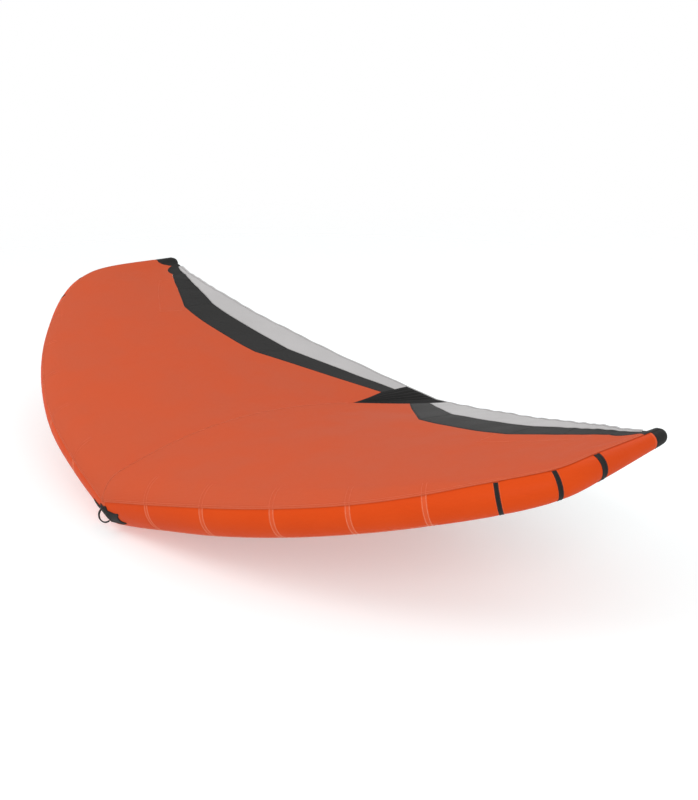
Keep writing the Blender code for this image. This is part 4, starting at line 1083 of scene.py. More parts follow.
@dataclass(frozen=True)
class Finish:
    """What every finish has: its name, and the two colours that it varies between."""

    name: str
    colour: Colour
    shade: Colour

    def made(self, effects: SharedEffects) -> bpy.types.Material:
        """Builds the material from the shared shader groups."""
        made, kit, inputs = material(self.name)
        place = kit.add("ShaderNodeTexCoord").outputs["Object"]
        kit.fill(inputs, self.surface(kit, effects, place))
        return made

    def surface(self, kit: NodeKit, effects: SharedEffects, place: bpy.types.NodeSocket) -> dict[str, object]:
        """Works out what goes into the shader.

        Args:
            kit: The material's node kit.
            effects: The shared shader groups.
            place: The place on the object, in metres.

        Returns:
            The shader's inputs by name.
        """
        raise NotImplementedError


@dataclass(frozen=True)
class ClothFinish(Finish):
    """Coated woven cloth: its threads, ripstop grid, tape, puckers and the creases of packing."""

    tape: Colour
    weave_pitch: float = 0.0009
    weave_depth: float = 0.00003
    grid_spacing: float = 0.005
    grid_tint: float = 0.0
    grid_depth: float = 0.0
    tape_half: float = 0.0
    pucker_depth: float = 0.0
    crease_size: float = 0.11
    crease_depth: float = 0.0
    roughness: float = 0.55
    gloss: float = 0.09
    sheen: float = 0.0
    sheen_tint: Colour = (1.0, 1.0, 1.0)

    def surface(self, kit: NodeKit, effects: SharedEffects, place: bpy.types.NodeSocket) -> dict[str, object]:
        """The shader's inputs, with the patterns laid along the cloth's own threads."""
        cloth, ends = (kit.add("ShaderNodeUVMap", uv_map=name).outputs[0] for name in ("cloth", "ends"))
        weave = kit.group(effects.weave, {"Place": cloth, "Pitch": self.weave_pitch})
        grid = kit.group(effects.ripstop, {"Place": cloth, "Spacing": self.grid_spacing,
                         "Width": self.grid_spacing * 0.09})
        cloud = kit.group(effects.mottle, {"Place": place, "Size": 0.35})
        fold = kit.group(effects.creases, {"Place": place, "Size": self.crease_size})
        seam = kit.group(effects.seam, {"Ends": ends, "Place": cloth, "Tape": self.tape_half})
        tint = kit.math("MULTIPLY_ADD", weave["Fleck"], 0.25, kit.math("MULTIPLY", cloud["Value"], 0.75))
        colour = kit.blend(tint, self.colour, self.shade)
        colour = kit.blend(kit.math("MULTIPLY", seam["Tape Mask"], 0.55), colour, self.tape)
        colour = kit.blend(kit.math("MULTIPLY", grid["Mask"], self.grid_tint), colour, self.tape)
        dull = kit.math("MULTIPLY_ADD", cloud["Value"], 0.10, self.roughness - 0.05)
        height = kit.math("MULTIPLY", weave["Height"], self.weave_depth)
        for mask, depth in ((grid["Mask"], self.grid_depth), (seam["Pucker"], self.pucker_depth),
                            (fold["Height"], self.crease_depth)):
            height = kit.math("MULTIPLY_ADD", mask, depth, height)
        return {"Base Color": colour, "Normal": kit.bump(height), "Specular IOR Level": self.gloss,
                "Roughness": kit.math("ADD", dull, kit.math("MULTIPLY", weave["Fleck"], 0.05)),
                "Sheen Weight": self.sheen, "Sheen Roughness": 0.45, "Sheen Tint": (*self.sheen_tint, 1.0)}


@dataclass(frozen=True)
class WebbingFinish(Finish):
    """Woven strap: ribs across it and rows along it."""

    rib: float = 0.0022
    depth: float = 0.00016
    roughness: float = 0.72

    def surface(self, kit: NodeKit, effects: SharedEffects, place: bpy.types.NodeSocket) -> dict[str, object]:
        """The shader's inputs, with the ribs laid along the strap."""
        cloth = kit.add("ShaderNodeUVMap", uv_map="cloth").outputs[0]
        weave = kit.group(effects.weave, {"Place": cloth, "Pitch": self.rib})
        fine = kit.group(effects.weave, {"Place": cloth, "Pitch": self.rib / 4})
        scuff = kit.group(effects.scuffs, {"Place": place, "Size": 0.03})
        # the rib crests are painted lighter and the grooves darker, as painted highlight and shade; the scuffs
        # mixed in are real wear
        tint = kit.math("MULTIPLY_ADD", weave["Height"], 0.4, kit.math("MULTIPLY", scuff["Mask"], 0.5))
        height = kit.math("MULTIPLY", weave["Height"], self.depth)
        height = kit.math("MULTIPLY_ADD", fine["Height"], self.depth * 0.3, height)
        return {"Base Color": kit.blend(tint, self.colour, self.shade), "Normal": kit.bump(height),
                "Roughness": kit.math("MULTIPLY_ADD", weave["Fleck"], 0.15, self.roughness - 0.07),
                "Specular IOR Level": 0.3, "Sheen Weight": 0.12}


@dataclass(frozen=True)
class MouldedFinish(Finish):
    """Moulded plastic, rubber or film: grain, scuffed places and the gloss under them."""

    roughness: float = 0.4
    scuffed: float = 0.25
    grain_depth: float = 0.00002
    opacity: float = 1.0
    coat: float = 0.0

    def surface(self, kit: NodeKit, effects: SharedEffects, place: bpy.types.NodeSocket) -> dict[str, object]:
        """The shader's inputs."""
        scuff = kit.group(effects.scuffs, {"Place": place, "Size": 0.02})
        cloud = kit.group(effects.mottle, {"Place": place, "Size": 0.05})
        tint = kit.math("MULTIPLY_ADD", scuff["Mask"], 0.6, kit.math("MULTIPLY", cloud["Value"], 0.3))
        return {"Base Color": kit.blend(tint, self.colour, self.shade),
                "Roughness": kit.math("MULTIPLY_ADD", scuff["Mask"], self.scuffed, self.roughness),
                "Normal": kit.bump(kit.math("MULTIPLY", scuff["Grain"], self.grain_depth)),
                "Alpha": self.opacity, "Coat Weight": self.coat}


@dataclass(frozen=True)
class ThreadFinish(Finish):
    """Polyester thread: two plies that catch the light differently."""

    def surface(self, kit: NodeKit, effects: SharedEffects, place: bpy.types.NodeSocket) -> dict[str, object]:
        """The shader's inputs."""
        cloud = kit.group(effects.mottle, {"Place": place, "Size": 0.0016})
        return {"Base Color": kit.blend(cloud["Value"], self.colour, self.shade),
                "Roughness": kit.math("MULTIPLY_ADD", cloud["Value"], 0.2, 0.5), "Specular IOR Level": 0.3}


@dataclass
class Wardrobe:
    """Every finish of the wing."""

    effects: SharedEffects = field(default_factory=SharedEffects)

    def __post_init__(self) -> None:
        """Builds the materials."""
        orange_tape, black_tape = (0.76, 0.125, 0.045), (0.055, 0.054, 0.053)
        sleeve = ClothFinish("sleeve_outside", (0.71, 0.0715, 0.0060), (0.67, 0.062, 0.0050), orange_tape,
                             grid_tint=0.05, tape_half=0.0115, pucker_depth=0.0034, crease_depth=0.0003,
                             roughness=0.50, sheen=0.02, sheen_tint=(1.0, 0.55, 0.35))
        finishes = (
            sleeve,
            replace(sleeve, name="strut_outside", tape_half=0.0, pucker_depth=0.0030),
            # canopy top: a paler, duller orange than the cloth itself, as painted sheen of grazing light on the
            # top face
            ClothFinish("canopy_top", (0.562, 0.097, 0.041), (0.610, 0.091, 0.032), (0.72, 0.20, 0.12),
                        weave_pitch=0.0007, grid_spacing=0.006, grid_tint=0.22, grid_depth=0.00003,
                        pucker_depth=0.0006, crease_size=0.20, crease_depth=0.00025, roughness=0.66,
                        gloss=0.05),
            # canopy underside: a brighter orange than the cloth itself, as painted light that lifts the shaded
            # underside; the strut web wears it too
            ClothFinish("canopy_underside", (0.78, 0.092, 0.012), (0.74, 0.082, 0.010), (0.76, 0.16, 0.06),
                        weave_pitch=0.0007, grid_spacing=0.006, grid_tint=0.20, grid_depth=0.00003,
                        crease_size=0.20, crease_depth=0.00025, roughness=0.60, gloss=0.05),
            ClothFinish("black_cloth", (0.0150, 0.0147, 0.0146), (0.021, 0.0207, 0.0204), black_tape,
                        grid_tint=0.25, grid_depth=0.00003, pucker_depth=0.0005, crease_size=0.09,
                        crease_depth=0.0003, roughness=0.62, sheen=0.05),
            ClothFinish("patch_cloth", (0.0085, 0.0082, 0.0081), (0.0125, 0.0122, 0.012), black_tape,
                        grid_tint=0.16, grid_depth=0.00003, crease_size=0.09, crease_depth=0.0003,
                        roughness=0.66),
            ClothFinish("window_cloth", (0.53, 0.515, 0.515), (0.48, 0.468, 0.468), (0.66, 0.655, 0.655),
                        grid_spacing=0.010, grid_tint=0.30, grid_depth=0.00004, crease_size=0.16,
                        crease_depth=0.0002, roughness=0.38),
            WebbingFinish("black_webbing", (0.016, 0.0155, 0.015), (0.040, 0.039, 0.038)),
            MouldedFinish("moulded_black", (0.020, 0.020, 0.021), (0.060, 0.060, 0.062), 0.38),
            MouldedFinish("moulded_grey", (0.13, 0.135, 0.14), (0.20, 0.205, 0.21), 0.42),
            MouldedFinish("hose_rubber", (0.045, 0.045, 0.047), (0.09, 0.09, 0.092), 0.48, 0.2, 0.00003),
            MouldedFinish("bladder_film", (0.62, 0.66, 0.70), (0.70, 0.74, 0.78), 0.22, 0.1, 0.00001, 0.65,
                          0.2),
            ThreadFinish("pale_thread", (0.87, 0.42, 0.26), (0.80, 0.31, 0.18)),
            ThreadFinish("orange_thread", (0.80, 0.22, 0.11), (0.70, 0.14, 0.06)),
            ThreadFinish("dark_thread", (0.06, 0.058, 0.056), (0.028, 0.027, 0.026)),
            ThreadFinish("grey_thread", (0.42, 0.41, 0.41), (0.30, 0.295, 0.29)),
        )
        self.materials = {finish.name: finish.made(self.effects) for finish in finishes}

    def __getitem__(self, name: str) -> bpy.types.Material:
        """The material of that name."""
        return self.materials[name]


@dataclass(frozen=True)
class Stitch:
    """The sizes of one kind of sewing, as the sewing tree takes them."""

    pitch: float
    zigzag: float
    thread_radius: float
    stitch_length: float


class Sewing(Enum):
    """The kinds of sewing on the wing, with the finish of each one's thread."""

    JOINT = ("pale_thread", Stitch(0.0042, 0.55, 0.00052, 0.0046))
    LONG_SEAM = ("pale_thread", Stitch(0.0046, 0.5, 0.00058, 0.0048))
    BAND = ("dark_thread", Stitch(0.004, 0.0, 0.0005, 0.003))
    CANOPY_SEAM = ("orange_thread", Stitch(0.0044, 0.45, 0.0006, 0.0042))
    TRAILING_BAND = ("dark_thread", Stitch(0.0048, 0.4, 0.0006, 0.0042))
    WINDOW = ("grey_thread", Stitch(0.005, 0.4, 0.0006, 0.0042))
    STRUT_JOINT = ("pale_thread", Stitch(0.0042, 0.62, 0.0007, 0.0046))
    STRUT_WEB = ("orange_thread", Stitch(0.0044, 0.5, 0.0006, 0.0042))
    HANDLE = ("dark_thread", Stitch(0.0034, 0.0, 0.0005, 0.0026))
    NOSE = ("dark_thread", Stitch(0.0034, 0.0, 0.0005, 0.0027))


@dataclass
class Bench:
    """Finishes each piece: places it, dresses it and ties it to its body."""

    wardrobe: Wardrobe
    sewing: SewingTree
    studs: StudTree
    pieces: int = 0

    def put(self, name: str, mesh: bpy.types.Mesh, finishes: Iterable[str], slot: Slot, body: Body = Body.WING,
            stands_for: Iterable[str] = ()) -> bpy.types.Object:
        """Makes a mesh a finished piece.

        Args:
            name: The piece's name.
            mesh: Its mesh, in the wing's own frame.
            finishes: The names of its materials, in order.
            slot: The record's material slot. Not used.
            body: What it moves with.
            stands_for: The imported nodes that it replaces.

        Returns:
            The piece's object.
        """
        mesh.transform(Matrix.Translation(SHIFT))
        mesh.materials.clear()
        for finish in finishes:
            mesh.materials.append(self.wardrobe[finish])
        mesh.name = name
        made = linked(name, mesh)
        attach(made, body.value)
        if stands_for:
            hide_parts(*stands_for)
        self.pieces += 1
        LOG.info("%-34s %6d faces on %s", name, len(mesh.polygons), body.value)
        return made

    def cloth(self, name: str, wall: Wall, finishes: Sequence[str], slot: Slot, stands_for: Iterable[str],
              mesh: bpy.types.Mesh | None = None, rests_on: Iterable[str] = ()) -> bpy.types.Object:
        """Args:
            name: The piece's name.
            wall: The cloth.
            finishes: The outer face's material, and the inner face's if it differs.
            slot: The record's material slot.
            stands_for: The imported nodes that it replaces.
            mesh: The wall's mesh, where it has been worked on.
            rests_on: The names of what carries it.

        Returns:
            The piece's object.
        """
        mesh = mesh or wall.mesh(name, len(finishes) - 1)
        made = self.put(name, mesh, finishes, slot, stands_for=stands_for)
        wide, tall, area = wall.area()
        list(rests_on)
        return made

    def sew(self, name: str, lines: Sequence[Line], kind: Sewing, slot: Slot, body: Body = Body.WING) -> None:
        """Lays stitches along lines as one piece.

        Args:
            name: The piece's name.
            lines: Each line's points, with the direction out of the cloth at each.
            kind: The kind of sewing.
            slot: The record's material slot.
            body: What it moves with.
        """
        thread, sizes = kind.value
        mesh = self.sewing.sew(name, lines, self.wardrobe[thread], asdict(sizes))
        self.put(name, mesh, (thread,), slot, body)


# The leading edge


def pressed(point: Vector, seat: Matrix, flat: float, blend: float) -> Vector:
    """Lays cloth flat against a flange.

    Args:
        point: A point of the cloth.
        seat: The flange's seat, with its axis along local Z.
        flat: The radius inside which the cloth is flat.
        blend: The radius outside which it is left alone.

    Returns:
        The moved point.
    """
    reach, under_flange = 0.04, -0.0003
    local = seat.inverted() @ point
    away = math.hypot(local.x, local.y)
    if away > blend or abs(local.z) > reach:
        return point
    local.z += (under_flange - local.z) * (1 - ease(flat, blend, away))
    return seat @ local


def pierced(mesh: bpy.types.Mesh, seat: Matrix, radius: float, depth: float = 0.04) -> bpy.types.Mesh:
    """Cuts a round hole.

    Args:
        mesh: The closed mesh to cut.
        seat: The hole's place, with its axis along local Z.
        radius: The hole's radius.
        depth: How deep the cutter reaches, both ways together.

    Returns:
        The cut mesh.
    """
    bm = bmesh.new()
    bmesh.ops.create_cone(bm, cap_ends=True, segments=40, radius1=radius, radius2=radius, depth=depth)
    tool, target = linked("hole_cutter", to_mesh(bm, "hole_cutter", seat)), linked("hole_target", mesh)
    cut = target.modifiers.new("Hole", "BOOLEAN")
    cut.operation, cut.object = "DIFFERENCE", tool
    made = evaluated(target)
    for piece in (tool, target):
        bpy.data.objects.remove(piece)
    return made


@dataclass
class Seats:
    """Where the valve and the hose's two ports sit."""

    form: WingForm
    flange_lift: float = 0.001
    valve_at: Pair = (0.8, 172.0)
    valve_hole: float = 0.0198
    valve_flat: Pair = (0.032, 0.062)
    port_at: Pair = (0.55, 197.0)
    port_hole: float = 0.0103
    port_flat: Pair = (0.021, 0.040)

    def straight_sleeve(self, t: float, degrees: float) -> Vector:
        """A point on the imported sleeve, which is straight between half stations."""
        low = math.floor(t * 2) / 2
        near, far = (self.form.sleeve(half, degrees, self.flange_lift) for half in (low, low + 0.5))
        return near.lerp(far, (t - low) * 2)

    def on_sleeve(self, at: Pair) -> Matrix:
        """A seat on the sleeve, with local Z pointing out of it."""
        base = self.straight_sleeve(*at)
        return pose(base, base - self.straight_sleeve(at[0], at[1] + 180))

    def cut_holes(self, mesh: bpy.types.Mesh) -> bpy.types.Mesh:
        """Cuts the holes for the valve and for the hose's port."""
        for at, radius in ((self.valve_at, self.valve_hole), (self.port_at, self.port_hole)):
            mesh = pierced(mesh, self.on_sleeve(at), radius)
        return mesh


@dataclass
class LeadingEdge:
    """The blown-up sleeve: its panels, bladder, bands, tip caps and seams."""

    form: WingForm
    bench: Bench
    seats: Seats
    sides: int = 72
    cloth: float = 0.001
    seam_gap: float = 0.0002
    band_joints: tuple[int, ...] = (6, 7, 8)
    band_half: float = 0.009
    band_gap: float = 0.0003
    band_row: float = 0.0062
    band_thickness: float = 0.0008
    band_back: float = -248.0
    cap_swell: float = 0.0006
    cap_dome: float = 0.034
    bladder_film: float = 0.0006
    bladder_lift: float = -0.0032
    bladder_dome: float = 0.022
    near_ends: tuple[float, ...] = (0.0, 0.003, 0.006, 0.0095, 0.0112, 0.0122, 0.016, 0.021, 0.028, 0.037)
    row_spacing: float = 0.021
    row_from_joint: float = 0.0075
    underside: tuple[Pair, ...] = ((0.62, -53.0), (4.0, -54.0), (5.0, -47.0), (9.0, -45.0))

    def axis(self, side: Side) -> Callable[[Vector], Vector]:
        """Finds the point inside the sleeve that is nearest to a point on it."""
        line = [side.turned(self.form.centre(self.form.panels * i / 120)) for i in range(121)]
        return lambda point: min(line, key=lambda centre: (centre - point).length_squared)

    def stations(self, panel: int) -> list[float]:
        """The stations of a panel's rows, close together near its joints.

        Args:
            panel: The panel, from 0 at the nose.

        Returns:
            The stations in rising order.
        """
        length = self.form.panel_length(panel)
        reach = length if panel < self.form.panels - 1 else (self.form.cap_station() - panel) * length
        places = close_at_ends(0.0, reach, self.near_ends, self.row_spacing)
        places[0] += self.seam_gap / 2
        places[-1] -= self.seam_gap / 2
        return [panel + d / length for d in places]

    def ring(self, t: float, side: Side, lift: float, seated: bool = False) -> list[Vector]:
        """One ring of the sleeve's cloth.

        Args:
            t: The station.
            side: The half of the wing.
            lift: Height over the sleeve's plain round.
            seated: Whether the cloth lies flat under the valve and the port.

        Returns:
            The ring's points.
        """
        shift = Vector((self.seam_gap, 0, 0)) if t < 0.01 else Vector()
        points = [self.form.sleeve(t, 360 * i / self.sides, lift) + shift for i in range(self.sides)]
        if seated:
            for at, reach in ((self.seats.valve_at, self.seats.valve_flat),
                              (self.seats.port_at, self.seats.port_flat)):
                seat = self.seats.on_sleeve(at)
                points = [pressed(p, seat, *reach) for p in points]
        return [side.turned(p) for p in points]

    def make_panels(self) -> None:
        """Makes the nine panels of each half."""
        for side in Side:
            for panel in range(self.form.panels):
                name = f"leading_edge_panel_{panel + 1}_{side.word}"
                seated = panel == 0 and side is Side.RIGHT
                rows = [self.ring(t, side, self.form.skin_lift(t), seated) for t in self.stations(panel)]
                wall = Wall(rows, self.cloth, self.axis(side), ring=True)
                mesh = wall.mesh(name)
                if seated:
                    mesh = self.seats.cut_holes(mesh)
                self.bench.cloth(f"sleeve_{panel + 1}_{side.word}", wall, ("sleeve_outside",), Slot.SLEEVE,
                                 (name,), mesh, ("leading_edge_air_bladder",) if panel else ())

    def make_bladder(self) -> None:
        """Makes the one long bladder inside the sleeve, domed at each end."""
        end = self.form.cap_station()
        rows: Rows = []
        for side in (Side.LEFT, Side.RIGHT):
            half = [[side.turned(self.form.sleeve(t, 360 * k / 40, self.bladder_lift)) for k in range(40)]
                    for t in spread(0.0, end, 45)]
            centre, run = side.turned(self.form.centre(end)), side.turned(self.form.station(end).run)
            half += domed(half[-1], centre, run * self.bladder_dome, 5)
            rows = [*reversed(half)] if side is Side.LEFT else rows + half[1:]
        axes = [self.axis(side) for side in Side]
        wall = Wall(rows, self.bladder_film, lambda p: axes[0 if p.x < 0 else 1](p), ring=True)
        mesh = self.seats.cut_holes(wall.mesh("leading_edge_air_bladder"))
        made = self.bench.put("leading_edge_air_bladder", mesh, ("bladder_film",), Slot.FILM,
                              stands_for=("leading_edge_bladder",))

    def make_bands(self) -> None:
        """Makes the black bands over the outer three joints."""
        for side in Side:
            for number, joint in enumerate(self.band_joints, start=1):
                length = self.form.panel_length(joint - 0.5)
                seam = smooth(self.form.seam_angles, joint)
                end = seam - math.degrees((self.form.canopy_lift + self.band_thickness)
                                          / self.form.station(joint).radius)
                rows = []
                for i in range(9):
                    t = joint + self.band_half * (i / 4 - 1) / length
                    lift = self.form.skin_lift(t) + self.band_gap
                    rows.append([side.turned(self.form.sleeve(t, angle, lift))
                                 for angle in spread(self.band_back, end, 56)])
                wall = Wall(rows, self.band_thickness, self.axis(side), grows_out=True)
                self.bench.cloth(f"black_band_{number}_{side.word}", wall, ("black_cloth",), Slot.BLACK,
                                 (f"tip_band_{number}_{side.word}",))

    def make_caps(self) -> None:
        """Makes the rounded black caps of the tips."""
        start, last = self.form.cap_station(), self.form.panels
        for side in Side:
            centre, run = side.turned(self.form.centre(last)), side.turned(self.form.station(last).run)
            rows = []
            for i in range(8):
                t = start + (last - start) * i / 7
                lift = self.cap_swell * (1 - abs(i / 3.5 - 1) ** 6)
                rows.append(self.ring(t, side, self.form.skin_lift(t) * (1 - i / 7) + lift))
            edge = [side.turned(self.form.sleeve(last, 360 * k / self.sides)) for k in range(self.sides)]
            rows += domed(edge, centre, run * self.cap_dome, 10)
            wall = Wall(rows, self.cloth, self.axis(side), ring=True)
            self.bench.cloth(f"tip_cover_{side.word}", wall, ("black_cloth",), Slot.BLACK,
                             (f"tip_cap_{side.word}",))

    def arc(self, t: float, start: float, end: float, side: Side) -> Line:
        """A line round the sleeve for stitches.

        Args:
            t: The station.
            start: The first angle in degrees.
            end: The last angle.
            side: The half of the wing.

        Returns:
            The points with the direction out of the cloth.
        """
        angles = spread(start, end, max(2, round(abs(end - start) / 5)))
        return [self.stitch_place(t, angle, side) for angle in angles]

    def stitch_place(self, t: float, angle: float, side: Side) -> tuple[Vector, Vector]:
        """A point just over the cloth, with the direction out of it."""
        point = self.form.sleeve(t, angle, self.form.skin_lift(t) + THREAD_LIFT)
        return side.turned(point), side.turned(self.form.sleeve_out(t, angle))

    def sew_joints(self) -> None:
        """Sews two rows over each taped joint, one row each side of the nose, and the long seam below."""
        for side in Side:
            rows = []
            for joint in range(1, self.form.taped_joints + 1):
                for way in (-1, 1):
                    t = joint + way * self.row_from_joint / self.form.panel_length(joint - 0.5 * (way < 0))
                    seam, leave = smooth(self.form.seam_angles, t), smooth(self.form.leave_angles, t)
                    rows.append(self.arc(t, seam - 1.5, leave - 357, side))
            near = self.row_from_joint / self.form.panel_length(0)
            rows += [self.arc(near, 3.0, -3.0, side), self.arc(near, -48.0, -100.0, side)]
            self.bench.sew(f"joint_stitches_{side.word}", rows, Sewing.JOINT, Slot.SLEEVE)
            first, angle = self.underside[0]
            long_seam = [self.stitch_place(t, straight(self.underside, t), side)
                         for t in spread(first, self.form.taped_joints + 0.1, 220)]
            self.bench.sew(f"long_seam_{side.word}", [long_seam, self.arc(first, angle - 1, angle - 26, side)],
                           Sewing.LONG_SEAM, Slot.SLEEVE)
            bands = []
            for joint in self.band_joints:
                for way in (-1, 1):
                    t = joint + way * self.band_row / self.form.panel_length(joint - 0.5)
                    seam = smooth(self.form.seam_angles, joint) - 4
                    bands.append([(p + n * (self.band_thickness + self.band_gap), n)
                                  for p, n in self.arc(t, seam, self.band_back + 3, side)])
            self.bench.sew(f"band_stitches_{side.word}", bands, Sewing.BAND, Slot.BLACK)


# The canopy


@dataclass
class Canopy:
    """The taut canopy: its panels, centre patch, trailing bands, windows, tip corners and hems."""

    form: WingForm
    bench: Bench
    cloth: float = 0.001
    front_corners: tuple[Pair, ...] = ((0.37, 0.874), (2.1, 0.726), (4.7, 0.695), (6.0, 0.765),
                                                      (7.0, 0.797), (7.8, 0.801), (8.75, 0.60))
    rear_corners: tuple[Pair, ...] = ((0.439, 0.941), (2.0, 0.859), (4.7, 0.862), (5.9, 0.907),
                                                     (7.8, 0.944), (8.75, 0.87))
    tip_outline: tuple[Pair, ...] = ((7.05, 0.77), (6.91, 0.68), (4.64, 0.55), (4.47, 0.69))
    band_joins: tuple[tuple[Pair, Pair], ...] = (
        ((2.1, 0.730), (2.0, 0.853)), ((4.7, 0.699), (4.7, 0.856)), ((6.0, 0.770), (5.9, 0.900)))
    point_share: float = 0.70
    patch_corner: float = 0.5
    rear_band_corner: float = 5.9
    tip_start: float = 8.75
    tip_gap: float = 0.0012
    gap: float = 0.0005
    patch_gap: float = 0.0006
    hem_gap: float = 0.0003
    hem_split: float = 0.0012
    hem_width: float = 0.0108
    hem_thickness: float = 0.0024
    column_spacing: float = 0.1
    pleat_height: float = 0.0062
    pleat_count: float = 5.0
    row_from_joint: float = 0.0075
    sewn_rows: Pair = (0.004, 0.011)
    band_rows: Pair = (0.004, 0.010)
    middle_row: float = 0.012

    @staticmethod
    def below(point: Vector) -> Vector:
        """A point well below the canopy."""
        return point - Vector((0, 0, 0.459))

    def columns(self, start: float, end: float, corners: Iterable[float]) -> list[float]:
        """Evenly spaced stations that also pass through corners.

        Args:
            start: The first station.
            end: The last station.
            corners: Stations that the columns pass through.

        Returns:
            The stations in rising order.
        """
        even = spread(start, end, max(2, round((end - start) / self.column_spacing)))
        fixed = [c for c in corners if start < c < end]
        near = self.column_spacing * 0.4
        return sorted([t for t in even if t in (start, end) or all(abs(t - c) > near for c in fixed)] + fixed)

    def grid(self, columns: Iterable[tuple[Pair, Pair]], rows: int, side: Side,
             raise_by: Callable[[float, float], float] | None = None) -> Rows:
        """Points between the two ends of each column.

        Args:
            columns: The ends as ((station, share), (station, share)).
            rows: The number of steps along a column.
            side: The half of the wing.
            raise_by: Extra height for a station and share.

        Returns:
            One row of points for each column.
        """
        made = []
        for a, b in columns:
            line = []
            for i in range(rows + 1):
                t, share = (a[j] + (b[j] - a[j]) * i / rows for j in (0, 1))
                point = self.form.canopy(t, share)
                if raise_by:
                    point = point + UP * raise_by(t, share)
                line.append(side.turned(point))
            made.append(line)
        return made

    def lay(self, name: str, node: str, rows: Rows, finishes: Sequence[str], slot: Slot,
            thickness: float | None = None) -> None:
        """Makes one piece of the canopy's cloth.

        Args:
            name: The piece's name.
            node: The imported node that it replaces.
            rows: The points of its under face.
            finishes: The upper face's material, and the under face's if it differs.
            slot: The record's material slot.
            thickness: Its thickness, if it isn't the canopy's own.
        """
        wall = Wall(rows, thickness or self.cloth, self.below, grows_out=True)
        self.bench.cloth(name, wall, finishes, slot, (node,))

    def panel_share(self, t: float) -> float:
        """The chord share where the coloured panel ends."""
        if t < self.front_corners[0][0]:
            first = self.front_corners[0]
            return self.point_share + (first[1] - self.point_share) * t / first[0]
        return straight(self.front_corners, t)

    def make_panels(self) -> None:
        """Makes the two large coloured panels."""
        corners = [c for c, _ in self.front_corners]
        stations = self.columns(0.0, self.tip_start - self.tip_gap, corners)
        for side in Side:
            rows = []
            for t in stations:
                share = self.panel_share(t) - self.form.chord_share(self.gap, t)
                line = [self.form.canopy(t, -1 + i / 10) for i in range(10)]
                line += [self.form.canopy(t, share * (i / 46)) for i in range(47)]
                if t == 0:
                    line = [p + Vector((self.gap, 0, 0)) for p in line]
                rows.append([side.turned(p) for p in line])
            # the top and under faces are lit and shaded copies of one orange cloth: painted sheen on top,
            # painted light beneath
            self.lay(f"canopy_{side.word}", f"canopy_panel_{side.word}", rows,
                     ("canopy_top", "canopy_underside"), Slot.CANOPY)

    def band_rear(self, t: float) -> float:
        """The station at the band's rear edge that goes with one at its front edge."""
        return straight(((self.front_corners[0][0], self.rear_corners[0][0]), (2.1, 2.0), (4.7, 4.7),
                         (self.tip_start, self.tip_start)), t)

    def make_bands_and_windows(self) -> None:
        """Makes the black trailing bands and the pale windows behind them."""
        fronts = self.columns(self.front_corners[0][0], self.tip_start,
                              [c for c, _ in self.front_corners[1:-1]] + [self.rear_band_corner])
        end = self.tip_start - self.tip_gap
        band, window = [], []
        for t in fronts:
            rear = self.band_rear(t)
            rear_share = straight(self.rear_corners, rear)
            edge = straight(((self.rear_corners[0][0], self.patch_corner), (1.0, 1.0), (9.0, 9.0)), rear)
            shift = self.patch_gap if t == fronts[0] else 0.0
            band.append(((min(t + shift, end), straight(self.front_corners, t)),
                         (min(rear + shift, end), rear_share - self.form.chord_share(self.gap, rear))))
            window.append(((min(rear + shift, end), rear_share), (min(edge + shift, end), 1.0)))
        for side in Side:
            self.lay(f"black_band_trailing_{side.word}", f"trailing_band_{side.word}",
                     self.grid(band, 10, side), ("black_cloth",), Slot.BLACK)
            self.lay(f"pale_window_{side.word}", f"window_panel_{side.word}", self.grid(window, 10, side),
                     ("window_cloth",), Slot.WINDOW)

    def pleats(self, t: float, share: float) -> float:
        """Height of the gathered folds that fan out over the centre patch."""
        half = self.front_corners[0][0] + (self.patch_corner - self.front_corners[0][0]) * ease(0.874, 1, share)
        reach = straight(((self.point_share, 0.0), (0.874, half), (1.0, half)), share)
        if reach <= 0:
            return 0.0
        across = min(t / reach, 1.0)
        fold = abs(math.sin(across * math.pi * self.pleat_count)) ** 0.7
        gathered = ease(0.715, 0.80, share) * (1 - ease(0.975, 1, share))
        return self.pleat_height * fold * (1 - across**4) * gathered

    def make_centre_patch(self) -> None:
        """Makes the pleated black patch over the middle of the trailing edge."""
        corner, share = self.front_corners[0]
        half = [((corner * u, self.point_share + (share - self.point_share) * u), (self.patch_corner * u, 1.0))
                for u in spread(0.0, 1.0, 60)]
        right = self.grid(half, 34, Side.RIGHT, self.pleats)
        left = [[Side.LEFT.turned(p) for p in line] for line in reversed(right[1:])]
        self.lay("pleated_centre_patch", "centre_patch", left + right, ("patch_cloth",), Slot.BLACK)

    def make_tip_corners(self) -> None:
        """Makes the black cloth over each tip."""
        columns = [((t, -1.0), (t, 1.0)) for t in spread(self.tip_start, self.form.panels, 6)]
        for side in Side:
            self.lay(f"tip_cloth_{side.word}", f"tip_corner_{side.word}", self.grid(columns, 30, side),
                     ("black_cloth",), Slot.BLACK)

    def make_hems(self) -> None:
        """Makes the folded tapes along the trailing edge."""
        stations = self.columns(0.0, self.tip_start, ())
        for side in Side:
            rows = []
            for t in stations:
                edge = self.form.canopy(t, 1.0)
                back = (edge - self.form.canopy(t, 1 - self.form.chord_share(self.hem_width, t))).normalized()
                shift = Vector((self.hem_split, 0, 0)) if t == 0 else Vector()
                rows.append([side.turned(edge + shift + back * away)
                             for away in spread(self.hem_gap, self.hem_width, 3)])
            self.lay(f"trailing_hem_{side.word}", f"trailing_edge_hem_{side.word}", rows, ("window_cloth",),
                     Slot.WINDOW, self.hem_thickness)

